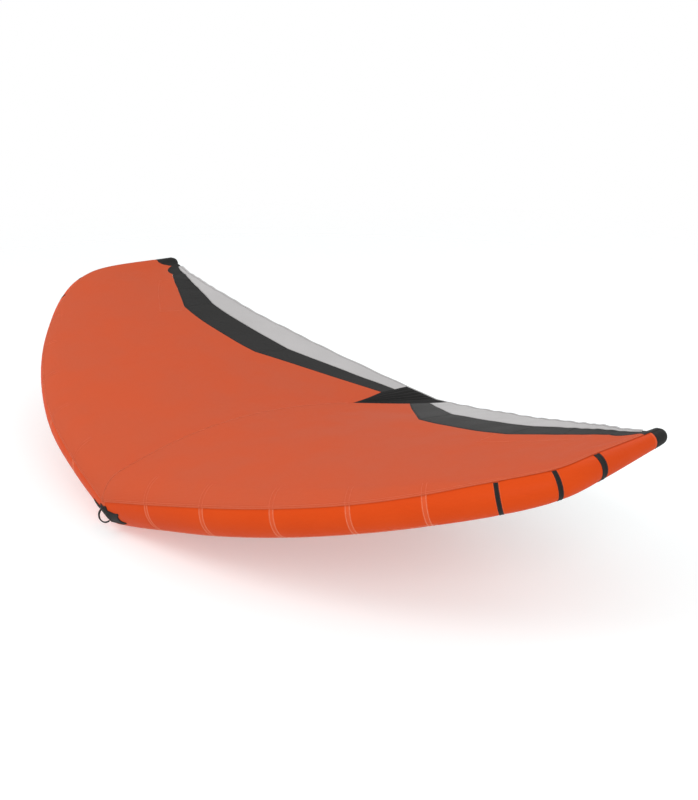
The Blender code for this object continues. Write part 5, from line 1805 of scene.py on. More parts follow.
    def top_line(self, places: Iterable[Pair], side: Side) -> Line:
        """A line on the canopy's top face for stitches.

        Args:
            places: The line's (station, share) places.
            side: The half of the wing.

        Returns:
            The points with the direction out of the cloth.
        """
        made = []
        for t, share in places:
            if share <= 0:
                s = self.form.station(t)
                out = self.form.sleeve_out(t, s.leave + (s.leave - s.seam) * share)
            else:
                out = self.form.canopy_up(t, share)
            point = self.form.canopy(t, share) + out * (self.cloth + THREAD_LIFT)
            made.append((side.turned(point), side.turned(out)))
        return made

    def sew_seams(self) -> None:
        """Sews the canopy to the sleeve, its panels to each other and its hems."""
        for side in Side:
            self.sew_front(side)
            self.sew_rear(side)

    def sew_front(self, side: Side) -> None:
        """Sews the seam on the sleeve, the joints, the middle seam and the outline near the tip."""
        steps = [0.06 + (self.tip_start - 0.1) * i / 260 for i in range(261)]
        lines = [[(t, -1 + row / self.wrap_length(t)) for t in steps] for row in self.sewn_rows]
        lines.append([(self.middle_row, share) for share in spread(-0.97, 0.0, 12) + spread(0.02, 0.68, 60)])
        lines.append(self.drawn(self.tip_outline))
        for joint in range(1, self.form.taped_joints + 1):
            aside = self.row_from_joint / self.form.panel_length(joint)
            lines += [[(joint + way * aside, share) for share in spread(-0.96, -0.06, 16)] for way in (-1, 1)]
        self.bench.sew(f"canopy_seam_{side.word}", [self.top_line(line, side) for line in lines],
                       Sewing.CANOPY_SEAM, Slot.CANOPY)

    def sew_rear(self, side: Side) -> None:
        """Sews the trailing band, its joins, the window and the hem."""
        first, (near, far) = self.front_corners[0][0], self.band_rows
        fronts = [first + 0.02 + (self.tip_start - first - 0.06) * i / 260 for i in range(261)]
        rears = [max(t, self.rear_corners[0][0] + 0.02) for t in fronts]

        def along(stations: Iterable[float], corners: Sequence[Pair], aside: float) -> Line:
            """A row beside an edge, aside metres behind it."""
            return self.top_line([(t, straight(corners, t) + self.form.chord_share(aside, t))
                                  for t in stations], side)

        black = [along(fronts, self.front_corners, near), along(fronts, self.front_corners, far),
                 along(rears, self.rear_corners, -near)]
        black += [self.top_line(self.drawn(ends, 24), side) for ends in self.band_joins]
        self.bench.sew(f"band_seam_{side.word}", black, Sewing.TRAILING_BAND, Slot.BLACK)
        hemmed = [t for t in rears if t > self.patch_corner + 0.03]
        pale = [along(rears, self.rear_corners, near), along(hemmed, ((0.0, 1.0), (9.0, 1.0)), -near)]
        self.bench.sew(f"window_seam_{side.word}", pale, Sewing.WINDOW, Slot.WINDOW)

    @staticmethod
    def drawn(corners: Sequence[Pair], steps: int = 60) -> list[Pair]:
        """Places along a line of straight pieces, steps of them for each piece."""
        return [(a[0] + (b[0] - a[0]) * i / steps, a[1] + (b[1] - a[1]) * i / steps)
                for a, b in zip(corners, corners[1:]) for i in range(steps)]

    def wrap_length(self, t: float) -> float:
        """Length of canopy that wraps the sleeve at a station."""
        s = self.form.station(t)
        return math.radians(s.leave - s.seam) * (s.radius + self.form.canopy_lift)


# The strut


@dataclass
class Strut:
    """The blown-up strut under the middle: its three panels, end cap, bladder, web and seams."""

    form: WingForm
    bench: Bench
    places: tuple[float, ...] = (0.02, 0.276, 0.458, 0.587, 0.689, 0.7965, 0.838, 0.90, 0.974, 1.03)
    radii: tuple[float, ...] = (0.09494, 0.08977, 0.086574, 0.084506, 0.079242, 0.07285, 0.06486, 0.05076,
                                0.036754, 0.02914)
    heights: tuple[float, ...] = (-0.019733, -0.013752, -0.010892, -0.008754, -0.004578, 0.010863, 0.00294,
                                  -0.005626, -0.016619, -0.027403)
    cuts: tuple[float, ...] = (0.689, 0.838, 0.955)
    end: float = 1.0
    dome: float = 0.040
    sides: int = 60
    cloth: float = 0.001
    seam_gap: float = 0.0002
    seam_pinch: float = 0.0013
    pinch_reach: float = 0.016
    soften: float = 0.020
    nose_gap: float = 0.0014
    nose_shares: tuple[float, ...] = (0.0, 0.02, 0.045, 0.08, 0.125, 0.19, 0.28, 0.42, 0.62, 0.82)
    flare: float = 0.0045
    flare_reach: float = 0.009
    near_ends: tuple[float, ...] = (0.0, 0.003, 0.007, 0.012, 0.018, 0.026)
    row_spacing: float = 0.022
    row_from_joint: float = 0.0055
    row_from_web_edge: float = 0.006
    cap_rows: Pair = (0.005, 0.009)
    cap_swell: float = 0.0006
    web_front: float = 0.055
    web_cloth: float = 0.0016
    seat_gap: float = 0.0004
    bladder_front: float = 0.12
    bladder_film: float = 0.0006
    bladder_lift: float = -0.0032
    bladder_domes: Pair = (-0.030, 0.022)
    nose_reach: float = 0.205
    web_wave: float = 0.0012
    port_lift: float = 0.001
    port_at: Pair = (0.175, 84.0)
    port_hole: float = 0.0103
    port_flat: Pair = (0.021, 0.040)

    def centre(self, share: float) -> Vector:
        """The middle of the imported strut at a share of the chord."""
        corners = list(zip(self.places, self.heights))
        return Vector((0.0, self.form.centre_chord * share, straight(corners, share)))

    def radius(self, share: float) -> float:
        """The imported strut's radius."""
        return straight(list(zip(self.places, self.radii)), share)

    def softened(self, y: float) -> Pair:
        """Height of the middle, and radius, at a distance back, with the corners eased."""
        shares = [(y + self.soften * (i / 4 - 1)) / self.form.centre_chord for i in range(9)]
        return (sum(self.centre(s).z for s in shares) / 9, sum(self.radius(s) for s in shares) / 9)

    def ring(self, y: float, lift: float, sides: int | None = None) -> list[Vector]:
        """A ring of the blown-up strut square to Y, from the top round towards +X."""
        height, radius = self.softened(y)
        count = sides or self.sides
        turns = [math.tau * i / count for i in range(count)]
        return [Vector((math.sin(a) * (radius + lift), y, height + math.cos(a) * (radius + lift)))
                for a in turns]

    def inside(self, point: Vector) -> Vector:
        """The middle of the strut beside a point."""
        return Vector((0.0, point.y, self.softened(point.y)[0]))

    def seat(self) -> Matrix:
        """The hose port's seat, with local Z pointing out of the strut."""
        share, degrees = self.port_at
        turn = math.radians(degrees)
        out = Vector((math.sin(turn), 0, math.cos(turn)))
        return pose(self.centre(share) + out * (self.radius(share) + self.port_lift), out, Vector((0, 1, 0)))

    @functools.cached_property
    def nose_tree(self) -> BVHTree:
        """The back of the nose, that the strut's front is cut to."""
        stations = [i / 12 for i in range(13)]
        rows = []
        for t in [-s for s in reversed(stations[1:])] + stations:
            side = Side.LEFT if t < 0 else Side.RIGHT
            rows.append([side.turned(self.form.sleeve(abs(t), 5 * k, self.nose_gap)) for k in range(72)])
        points = [p for row in rows for p in row]
        faces = [(i * 72 + k, i * 72 + (k + 1) % 72, (i + 1) * 72 + (k + 1) % 72, (i + 1) * 72 + k)
                 for i in range(len(rows) - 1) for k in range(72)]
        return BVHTree.FromPolygons(points, faces)

    def front_rows(self) -> Rows:
        """The rows behind the nose, cut to its round and flared onto it."""
        reach = []
        for point in self.ring(0.14, self.flare):
            hit = self.nose_tree.ray_cast(Vector((point.x, 1.0, point.z)), Vector((0, -1, 0)))[0]
            reach.append(hit.y)
        rows = []
        for share in self.nose_shares:
            row = []
            for k, front in enumerate(reach):
                y = front + (self.nose_reach - front) * share
                lift = self.flare * math.exp(-(y - front) / self.flare_reach)
                height, radius = self.softened(y)
                turn, out = math.tau * k / self.sides, radius + lift
                row.append(Vector((math.sin(turn) * out, y, height + math.cos(turn) * out)))
            rows.append(row)
        return rows

    def drawn_in(self, y: float) -> float:
        """How the cloth is drawn in at a sewn joint."""
        return -sum(self.seam_pinch * math.exp(-((y - cut * self.form.centre_chord) / self.pinch_reach) ** 2)
                    for cut in self.cuts)

    def make_panels(self) -> None:
        """Makes the three panels of the strut's sleeve."""
        gap, seat = self.seam_gap / 2, self.seat()
        cuts = [cut * self.form.centre_chord for cut in self.cuts]
        for word, start, end in (("front", self.nose_reach, cuts[0] - gap),
                                 ("middle", cuts[0] + gap, cuts[1] - gap),
                                 ("rear", cuts[1] + gap, cuts[2] - gap)):
            front = word == "front"
            rows = [self.ring(y, self.drawn_in(y))
                    for y in close_at_ends(start, end, self.near_ends, self.row_spacing)
                    if not front or y > start + 0.02 or y == start]
            if front:
                rows = [[pressed(p, seat, *self.port_flat) for p in row] for row in self.front_rows() + rows]
            wall = Wall(rows, self.cloth, self.inside, ring=True)
            mesh = wall.mesh(f"strut_sleeve_{word}")
            if front:
                mesh = pierced(mesh, seat, self.port_hole)
            self.bench.cloth(f"strut_sleeve_{word}", wall, ("strut_outside",), Slot.SLEEVE,
                             (f"strut_panel_{word}",), mesh, ("strut_air_bladder",))

    def make_cap(self) -> None:
        """Makes the rounded black cap at the strut's end."""
        chord = self.form.centre_chord
        start, end = self.cuts[-1] * chord + self.seam_gap / 2, self.end * chord
        rows = [self.ring(y, self.drawn_in(y) + self.cap_swell * ease(0, 0.2, i / 10))
                for i, y in enumerate(spread(start, end, 10))]
        centre = Vector((0.0, end, self.softened(end)[0]))
        rows += domed(rows[-1], centre, Vector((0, self.dome, 0)), 10)
        wall = Wall(rows, self.cloth, self.inside, ring=True)
        self.bench.cloth("strut_end_cover", wall, ("black_cloth",), Slot.BLACK, ("strut_end_cap",))

    def make_bladder(self) -> None:
        """Makes the strut's bladder, domed at each end."""
        start, end = (share * self.form.centre_chord for share in (self.bladder_front, self.end))
        rows = [self.ring(y, self.bladder_lift, 40) for y in spread(start, end, 60)]
        front, back = (domed(ring, sum(ring, Vector()) / len(ring), Vector((0, reach, 0)), 6)
                       for ring, reach in zip((rows[0], rows[-1]), self.bladder_domes))
        wall = Wall([*reversed(front), *rows, *back], self.bladder_film, self.inside, ring=True)
        mesh = pierced(wall.mesh("strut_air_bladder"), self.seat(), self.port_hole)
        made = self.bench.put("strut_air_bladder", mesh, ("bladder_film",), Slot.FILM,
                              stands_for=("strut_bladder",))

    def web_edges(self, y: float) -> Pair:
        """The web's low and high edges at a distance back."""
        nose = self.form.centre(0)
        height, radius = self.softened(y)
        low = height + radius + self.seat_gap
        clear = self.form.nose_radius + self.nose_gap
        if y < nose.y + clear:
            low = max(low, nose.z + math.sqrt(clear**2 - (y - nose.y) ** 2))
        return low, self.form.middle_height(y) - self.seat_gap

    def web_point(self, y: float, share: float) -> Vector:
        """A point in the middle of the web, share of the way up."""
        low, high = self.web_edges(y)
        free = math.sin(math.pi * share) * ease(0.0, 0.06, high - low)
        wave = noise.noise(Vector((y * 3.1, share * 1.3, 9.0))) * self.web_wave * free
        return Vector((wave, y, low + (high - low) * share))

    def make_web(self) -> None:
        """Makes the upright cloth between strut and canopy, up to the slit opening."""
        chord, aside = self.form.centre_chord, Vector((self.web_cloth / 2, 0, 0))
        rows = [[self.web_point(y, k / 9) - aside for k in range(10)]
                for y in spread(self.web_front * chord, self.cuts[0] * chord, 80)]
        wall = Wall(rows, self.web_cloth, lambda p: Vector((-1.0, p.y, p.z)), grows_out=True)
        # the web wears the canopy underside finish, whose colour holds painted light
        self.bench.cloth("strut_web_cloth", wall, ("canopy_underside",), Slot.SLEEVE, ("strut_web",))

    def sew_seams(self) -> None:
        """Sews the strut's joints, the junction with the nose, and both edges of the web."""
        chord = self.form.centre_chord
        places = [cut * chord + way * self.row_from_joint for cut in self.cuts[:2] for way in (-1, 1)]
        rings = [self.seam_round(self.ring(y, self.drawn_in(y) + THREAD_LIFT, 72))[1:] for y in places]
        self.bench.sew("strut_joint_stitches", rings, Sewing.STRUT_JOINT, Slot.SLEEVE)
        junction = self.seam_round(self.front_rows()[2])
        webbed = []
        for side in Side:
            for near in (self.row_from_web_edge, -self.row_from_web_edge):
                line = []
                for y in spread(0.19, self.cuts[0] * chord - self.row_from_web_edge, 199):
                    low, high = self.web_edges(y)
                    share = near / (high - low) if near > 0 else 1 + near / (high - low)
                    if 0 < share < 1:
                        out = Vector((side.value, 0, 0))
                        line.append((self.web_point(y, share) + out * (self.web_cloth / 2 + THREAD_LIFT), out))
                webbed.append(line)
        self.bench.sew("strut_web_stitches", [junction[4:-4], *webbed], Sewing.STRUT_WEB, Slot.SLEEVE)
        places = [self.cuts[2] * chord + row for row in self.cap_rows]
        cap = [self.seam_round(self.ring(y, self.drawn_in(y) + self.cap_swell + 0.0003, 48)) for y in places]
        self.bench.sew("strut_cap_stitches", cap, Sewing.BAND, Slot.BLACK)

    def seam_round(self, ring: Sequence[Vector]) -> Line:
        """A line for stitches round the strut."""
        return [(p, (p - self.inside(p)).normalized()) for p in ring]


# Handles and the towing loop


def inset(outline: Sequence[Pair], away: float, spacing: float = 0.003) -> list[Pair]:
    """A line inside a closed outline, one distance from it.

    Args:
        outline: The outline's corners.
        away: The distance.
        spacing: The step along the line.

    Returns:
        The line's points, ending where it began.
    """
    patch = Patch(outline, lambda u, v, h: Vector((u, v, h)), 0.001)
    made = []
    closed = [*outline, outline[0]]
    for a, b in zip(closed, closed[1:]):
        steps = max(1, math.ceil(math.dist(a, b) / spacing))
        run = (Vector(b) - Vector(a)).normalized()
        for i in range(steps):
            p = Vector(a).lerp(Vector(b), (i + 0.5) / steps)
            for across in (Vector((-run.y, run.x)), Vector((run.y, -run.x))):
                q = p + across * away
                near = min(patch.gap(q.x, q.y, c, d) for c, d in zip(closed, closed[1:]))
                if patch.holds(q.x, q.y) and near > away * 0.97:
                    made.append((q.x, q.y))
                    break
    return [*made, made[0]]


def round_box(width: float, height: float, corner: float, steps: int = 5) -> list[Pair]:
    """The outline of a rectangle with rounded corners, around the origin."""
    made = []
    for quarter, (sx, sy) in enumerate(((1, 1), (-1, 1), (-1, -1), (1, -1))):
        for i in range(steps + 1):
            turn = math.pi / 2 * (quarter + i / steps)
            made.append((sx * (width / 2 - corner) + corner * math.cos(turn),
                         sy * (height / 2 - corner) + corner * math.sin(turn)))
    return made


@dataclass
class Handle:
    """One hand strap under the strut: two sewn anchors with folded tabs, and the padded loop between."""

    strut: Strut
    bench: Bench
    word: str
    body: Body
    place: float
    length: float
    anchor_length: float = 0.094
    anchor_width: float = 0.044
    anchor_corner: float = 0.009
    anchor_cloth: float = 0.0020
    tab_height: float = 0.0135
    tab_width: float = 0.038
    tab_corner: float = 0.0042
    tab_starts: Pair = (0.06, 0.66)
    tab_ends: Pair = (0.46, 0.97)
    row_inset: float = 0.0032
    grip_thickness: float = 0.008
    grip_width: float = 0.024
    grip_end_width: float = 0.010
    grip_bow: float = 0.0145
    grip_lead: float = 0.0025
    end_narrowing: float = 0.0016
    end_thinning: float = 0.0018
    fit_gap: float = 0.0003
    steps: int = 64

    @property
    def middle(self) -> float:
        """How far back the handle's middle is."""
        return self.strut.form.centre_chord * self.place

    def packed_bottom(self, y: float) -> Vector:
        """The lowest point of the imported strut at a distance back."""
        share = y / self.strut.form.centre_chord
        centre = self.strut.centre(share)
        return Vector((0.0, y, centre.z - self.strut.radius(share) - self.fit_gap))

    def bottom(self, y: float, x: float) -> Vector:
        """A point on the blown-up strut's underside."""
        height, radius = self.strut.softened(y)
        return Vector((x, y, height - math.sqrt(radius**2 - x * x) - 0.0001))

    @functools.cached_property
    def down(self) -> Vector:
        """The direction straight down from the strut here."""
        reach = self.length / 2
        run = (self.packed_bottom(self.middle + reach) - self.packed_bottom(self.middle - reach)).normalized()
        return Vector((0, run.z, -run.y))

    def axis(self) -> list[Vector]:
        """The two ends of the line that the loop swings about."""
        reach = self.length / 2 - self.anchor_length * (1 - self.tab_starts[0]) - self.fit_gap
        low = self.down * (self.tab_height - self.grip_thickness / 2)
        return [self.packed_bottom(self.middle + reach * way) + low for way in (-1, 1)]

    def make_anchor(self, word: str, way: int) -> None:
        """Makes one anchor: the sewn patch, its two folded tabs and their stitches.

        Args:
            word: fore or aft.
            way: -1 ahead of the loop, or 1 behind it.
        """
        start = self.middle + way * (self.length / 2 - self.anchor_length)
        half = self.anchor_length / 2
        outline = [(u + half, v)
                   for u, v in round_box(self.anchor_length, self.anchor_width, self.anchor_corner)]

        def place(u: float, v: float, height: float) -> Vector:
            """A point over the strut's underside."""
            return self.bottom(start + way * u, v) + self.down * height

        name = f"{self.word}_handle_anchor_{word}"
        patch = Patch(outline, place, self.anchor_cloth, spacing=0.006).mesh(name)
        self.bench.put(f"{self.word}_handle_patch_{word}", patch, ("black_cloth",), Slot.WEBBING,
                       stands_for=(name,))
        for number, (low, high) in enumerate(zip(self.tab_starts, self.tab_ends), start=1):
            self.bench.put(f"{self.word}_handle_tab_{word}_{number}", self.tab(place, low, high),
                           ("black_webbing",), Slot.WEBBING)
        lines = [self.line(place, inset(outline, self.row_inset), self.anchor_cloth)]
        for low, high in zip(self.tab_starts, self.tab_ends):
            u0, u1 = low * self.anchor_length, high * self.anchor_length
            for u in (u0 + self.tab_corner, u1 - self.tab_corner):
                lines.append(self.line(place, [(u, self.tab_width * (i / 12 - 0.5) * 0.86) for i in range(13)],
                                       self.tab_height))
        self.bench.sew(f"{self.word}_handle_stitches_{word}", lines, Sewing.HANDLE, Slot.WEBBING)

    def line(self, place: Callable[[float, float, float], Vector], points: Iterable[Pair],
             height: float) -> Line:
        """A line for stitches over the anchor."""
        return [(place(u, v, height + THREAD_LIFT), self.down) for u, v in points]

    def tab(self, place: Callable[[float, float, float], Vector], low: float, high: float) -> bpy.types.Mesh:
        """Makes one tab of folded webbing, humped over the patch.

        Args:
            place: The anchor's placing of points.
            low: Where the tab starts, as a share of the anchor's length.
            high: Where it ends.

        Returns:
            The tab's mesh.
        """
        u0, u1 = low * self.anchor_length, high * self.anchor_length
        middle, height, corner = (u0 + u1) / 2, self.tab_height, self.tab_corner
        profile = [(u0 - 0.0012, 0.0002), (u0 - 0.0012, self.anchor_cloth + 0.0008)]
        for i in range(6):
            turn = math.pi - math.pi / 2 * i / 5
            profile.append((u0 + 0.0006 + corner + corner * math.cos(turn),
                            height - corner + corner * math.sin(turn)))
        profile.append((middle, height + 0.0002))
        profile += [(2 * middle - u, h) for u, h in reversed(profile[:-1])]
        rings = []
        edge = self.tab_width / 2
        for v, share in ((-edge, 0.90), (-edge + 0.0006, 0.97), (-edge + 0.0016, 1.0), *(
                (edge * (i / 5 - 1), 1.0) for i in range(1, 10)), (edge - 0.0016, 1.0),
                (edge - 0.0006, 0.97), (edge, 0.90)):
            if abs(v) > edge - 0.0017 or abs(v) <= edge - 0.003:
                rings.append([place(middle + (u - middle) * share, v, h * share) for u, h in profile])
        return Solid(rings).mesh(f"{self.word}_handle_tab", sharp=55)

    def make_loop(self) -> None:
        """Makes the loop and its stitches, which swing together."""
        ends = self.axis()
        lead = self.grip_lead / (ends[1] - ends[0]).length
        steps = [i / self.steps for i in range(self.steps + 1)]
        places = [0.0, *(lead + (1 - 2 * lead) * s for s in steps), 1.0]
        bows = [0.0, *(math.sin(math.pi * s) ** 0.6 for s in steps), 0.0]
        path = [ends[0].lerp(ends[1], p) + self.down * (self.grip_bow * b) for p, b in zip(places, bows)]
        widths, thick = [], []
        for p, b in zip(places, bows):
            cover = ease(0.10, 0.125, p) * ease(0.10, 0.125, 1 - p)
            widths.append(self.grip_end_width + (self.grip_width - self.grip_end_width) * min(1, b * b * 2)
                          - self.end_narrowing * (1 - cover))
            thick.append(self.grip_thickness - self.end_thinning * (1 - cover)
                         * ease(0.0, 0.02, min(p, 1 - p)))
        rings = strap(path, widths, thick, Vector((1, 0, 0)), sides=24, squareness=2.7)
        mesh = Solid(rings).mesh(f"{self.word}_handle_strap")
        self.bench.put(f"{self.word}_handle_strap", mesh, ("black_webbing",), Slot.WEBBING, self.body,
                       (f"{self.word}_handle_loop",))
        lines = []
        for face in (1, -1):
            for side in (-1, 1):
                line = []
                for i in range(12, len(path) - 12):
                    run = (path[i + 1] - path[i - 1]).normalized()
                    out = run.cross(Vector((1, 0, 0))).normalized() * face
                    aside = Vector((side * widths[i] * 0.36, 0, 0))
                    line.append((path[i] + aside + out * (thick[i] / 2 * 0.955),
                                 (out + Vector((side * 0.35, 0, 0))).normalized()))
                lines.append(line)
        self.bench.sew(f"{self.word}_handle_strap_stitches", lines, Sewing.HANDLE, Slot.WEBBING, self.body)

    def make(self) -> None:
        """Makes the whole handle."""
        self.make_anchor("fore", -1)
        self.make_anchor("aft", 1)
        self.make_loop()


@dataclass
class Nose:
    """The reinforcing patch on the nose and the towing loop sewn to it."""

    form: WingForm
    bench: Bench
    half_outline: tuple[Pair, ...] = (
        (0.0, -4.0), (0.021, -4.0), (0.0235, -6.0), (0.0265, -13.0), (0.055, -15.5), (0.078, -17.5),
        (0.0955, -16.5), (0.0985, -19.5), (0.0875, -25.0), (0.0885, -34.0), (0.0925, -37.0), (0.110, -39.5),
        (0.1145, -41.0), (0.1145, -43.5), (0.108, -44.5), (0.0925, -45.5), (0.086, -49.5), (0.060, -48.5),
        (0.026, -46.3), (0.0, -45.2))
    round_radius: float = 0.1286
    patch_thickness: float = 0.0028
    patch_gap: float = 0.0004
    patch_rows: Pair = (0.0035, 0.0085)
    loop_box: Pair = (0.020, 0.014)
    loop_angles: Pair = (-8.0, -39.0)
    loop_lift: float = 0.0065
    loop_bow: float = 0.029
    loop_width: float = 0.012
    loop_thickness: float = 0.006

    def point(self, x: float, degrees: float, lift: float) -> Vector:
        """A point on the nose at a distance from the middle plane."""
        side = Side.LEFT if x < 0 else Side.RIGHT
        t = abs(x) / self.form.centre(1).x
        for _ in range(4):
            found = self.form.sleeve(t, degrees, lift)
            t = t * abs(x) / found.x if x else 0.0
        return side.turned(self.form.sleeve(t, degrees, lift))

    def on_patch(self, u: float, v: float, height: float) -> Vector:
        """A point over the nose, with v along its round."""
        return self.point(u, math.degrees(v / self.round_radius), self.patch_gap + height)

    def out(self, u: float, v: float) -> Vector:
        """The direction out of the nose."""
        return (self.on_patch(u, v, 0.01) - self.on_patch(u, v, 0.0)).normalized()

    def make_patch(self) -> None:
        """Makes the patch and the stitches round it."""
        right = [(x, math.radians(a) * self.round_radius) for x, a in self.half_outline]
        outline = [*right, *((-x, v) for x, v in reversed(right[1:-1]))]
        mesh = Patch(outline, self.on_patch, self.patch_thickness, spacing=0.007).mesh("nose_cover")
        self.bench.put("nose_cover", mesh, ("black_cloth",), Slot.BLACK, stands_for=("nose_patch",))
        lines = [inset(outline, away, 0.004) for away in self.patch_rows]
        for angle in self.loop_angles:
            v = math.radians(angle) * self.round_radius
            box = [(x, v + y) for x, y in round_box(*self.loop_box, 0.001, 1)]
            lines.append([*box, box[0]])
        lift = self.patch_thickness + THREAD_LIFT
        self.bench.sew("nose_cover_stitches",
                       [[(self.on_patch(u, v, lift), self.out(u, v)) for u, v in line] for line in lines],
                       Sewing.NOSE, Slot.BLACK)

    def make_loop(self) -> None:
        """Makes the towing loop, an arch of webbing in the middle plane."""
        top, bottom = (self.point(0, a, self.loop_lift) for a in self.loop_angles)
        run, centre, half = (bottom - top).normalized(), (top + bottom) / 2, (bottom - top).length / 2
        out = run.cross(Vector((-1, 0, 0))).normalized()
        if out.y > 0:
            out.negate()
        path, widths, thick = [], [], []
        for i in range(37):
            turn = math.pi * i / 36
            path.append(centre + run * (-half * math.cos(turn)) + out * (self.loop_bow * math.sin(turn)))
            widths.append(self.loop_thickness + (self.loop_width - self.loop_thickness)
                          * min(1, math.sin(turn) * 2))
            thick.append(self.loop_thickness)
        for degrees in (20.0, 38.0, 55.0, 70.0):
            turn = math.radians(degrees)
            across = self.loop_thickness * math.cos(turn)
            inward = out * (-self.loop_thickness / 2 * math.sin(turn))
            widths, thick = [across, *widths, across], [across, *thick, across]
            path = [centre + inward - run * half, *path, centre + inward + run * half]
        rings = strap(path, widths, thick, Vector((1, 0, 0)), sides=18, squareness=2.5)
        self.bench.put("towing_loop_webbing", Solid(rings).mesh("towing_loop_webbing"), ("black_webbing",),
                       Slot.WEBBING, Body.TOWING_LOOP, ("nose_loop",))


# Valve, hose and clamp


def bevelled(bm: bmesh.types.BMesh, width: float, segments: int = 3, angle: float = 40.0) -> bmesh.types.BMesh:
    """Rounds a body's sharp edges by width and returns it."""
    sharp = [e for e in bm.edges if e.calc_face_angle(0) > math.radians(angle)]
    bmesh.ops.bevel(bm, geom=sharp, offset=width, segments=segments, profile=0.5, affect="EDGES",
                    clamp_overlap=True)
    return bm


def extruded(outline: Sequence[Pair], depth: float) -> bmesh.types.BMesh:
    """A body from an outline of (x, z) points, as deep along Y as depth."""
    bm = bmesh.new()
    face = bm.faces.new([bm.verts.new((x, -depth / 2, z)) for x, z in outline])
    made = bmesh.ops.extrude_face_region(bm, geom=[face])
    moved = [v for v in made["geom"] if isinstance(v, bmesh.types.BMVert)]
    bmesh.ops.translate(bm, verts=moved, vec=(0, depth, 0))
    return bm


def raised_bar(size: Sequence[float], at: Sequence[float], matrix: Matrix) -> bpy.types.Mesh:
    """A small bar of a size, with its middle at a place in the frame of matrix."""
    bm = bmesh.new()
    bmesh.ops.create_cube(bm, size=1.0)
    bmesh.ops.scale(bm, verts=bm.verts[:], vec=size)
    bmesh.ops.translate(bm, verts=bm.verts[:], vec=at)
    return to_mesh(bm, "raised_bar", matrix)


def with_added(mesh: bpy.types.Mesh, *others: bpy.types.Mesh) -> bpy.types.Mesh:
    """Joins meshes into the first one."""
    bm = bmesh.new()
    for part in (mesh, *others):
        bm.from_mesh(part)
    for face in bm.faces:
        face.material_index = 0
    bm.to_mesh(mesh)
    bm.free()
    return mesh


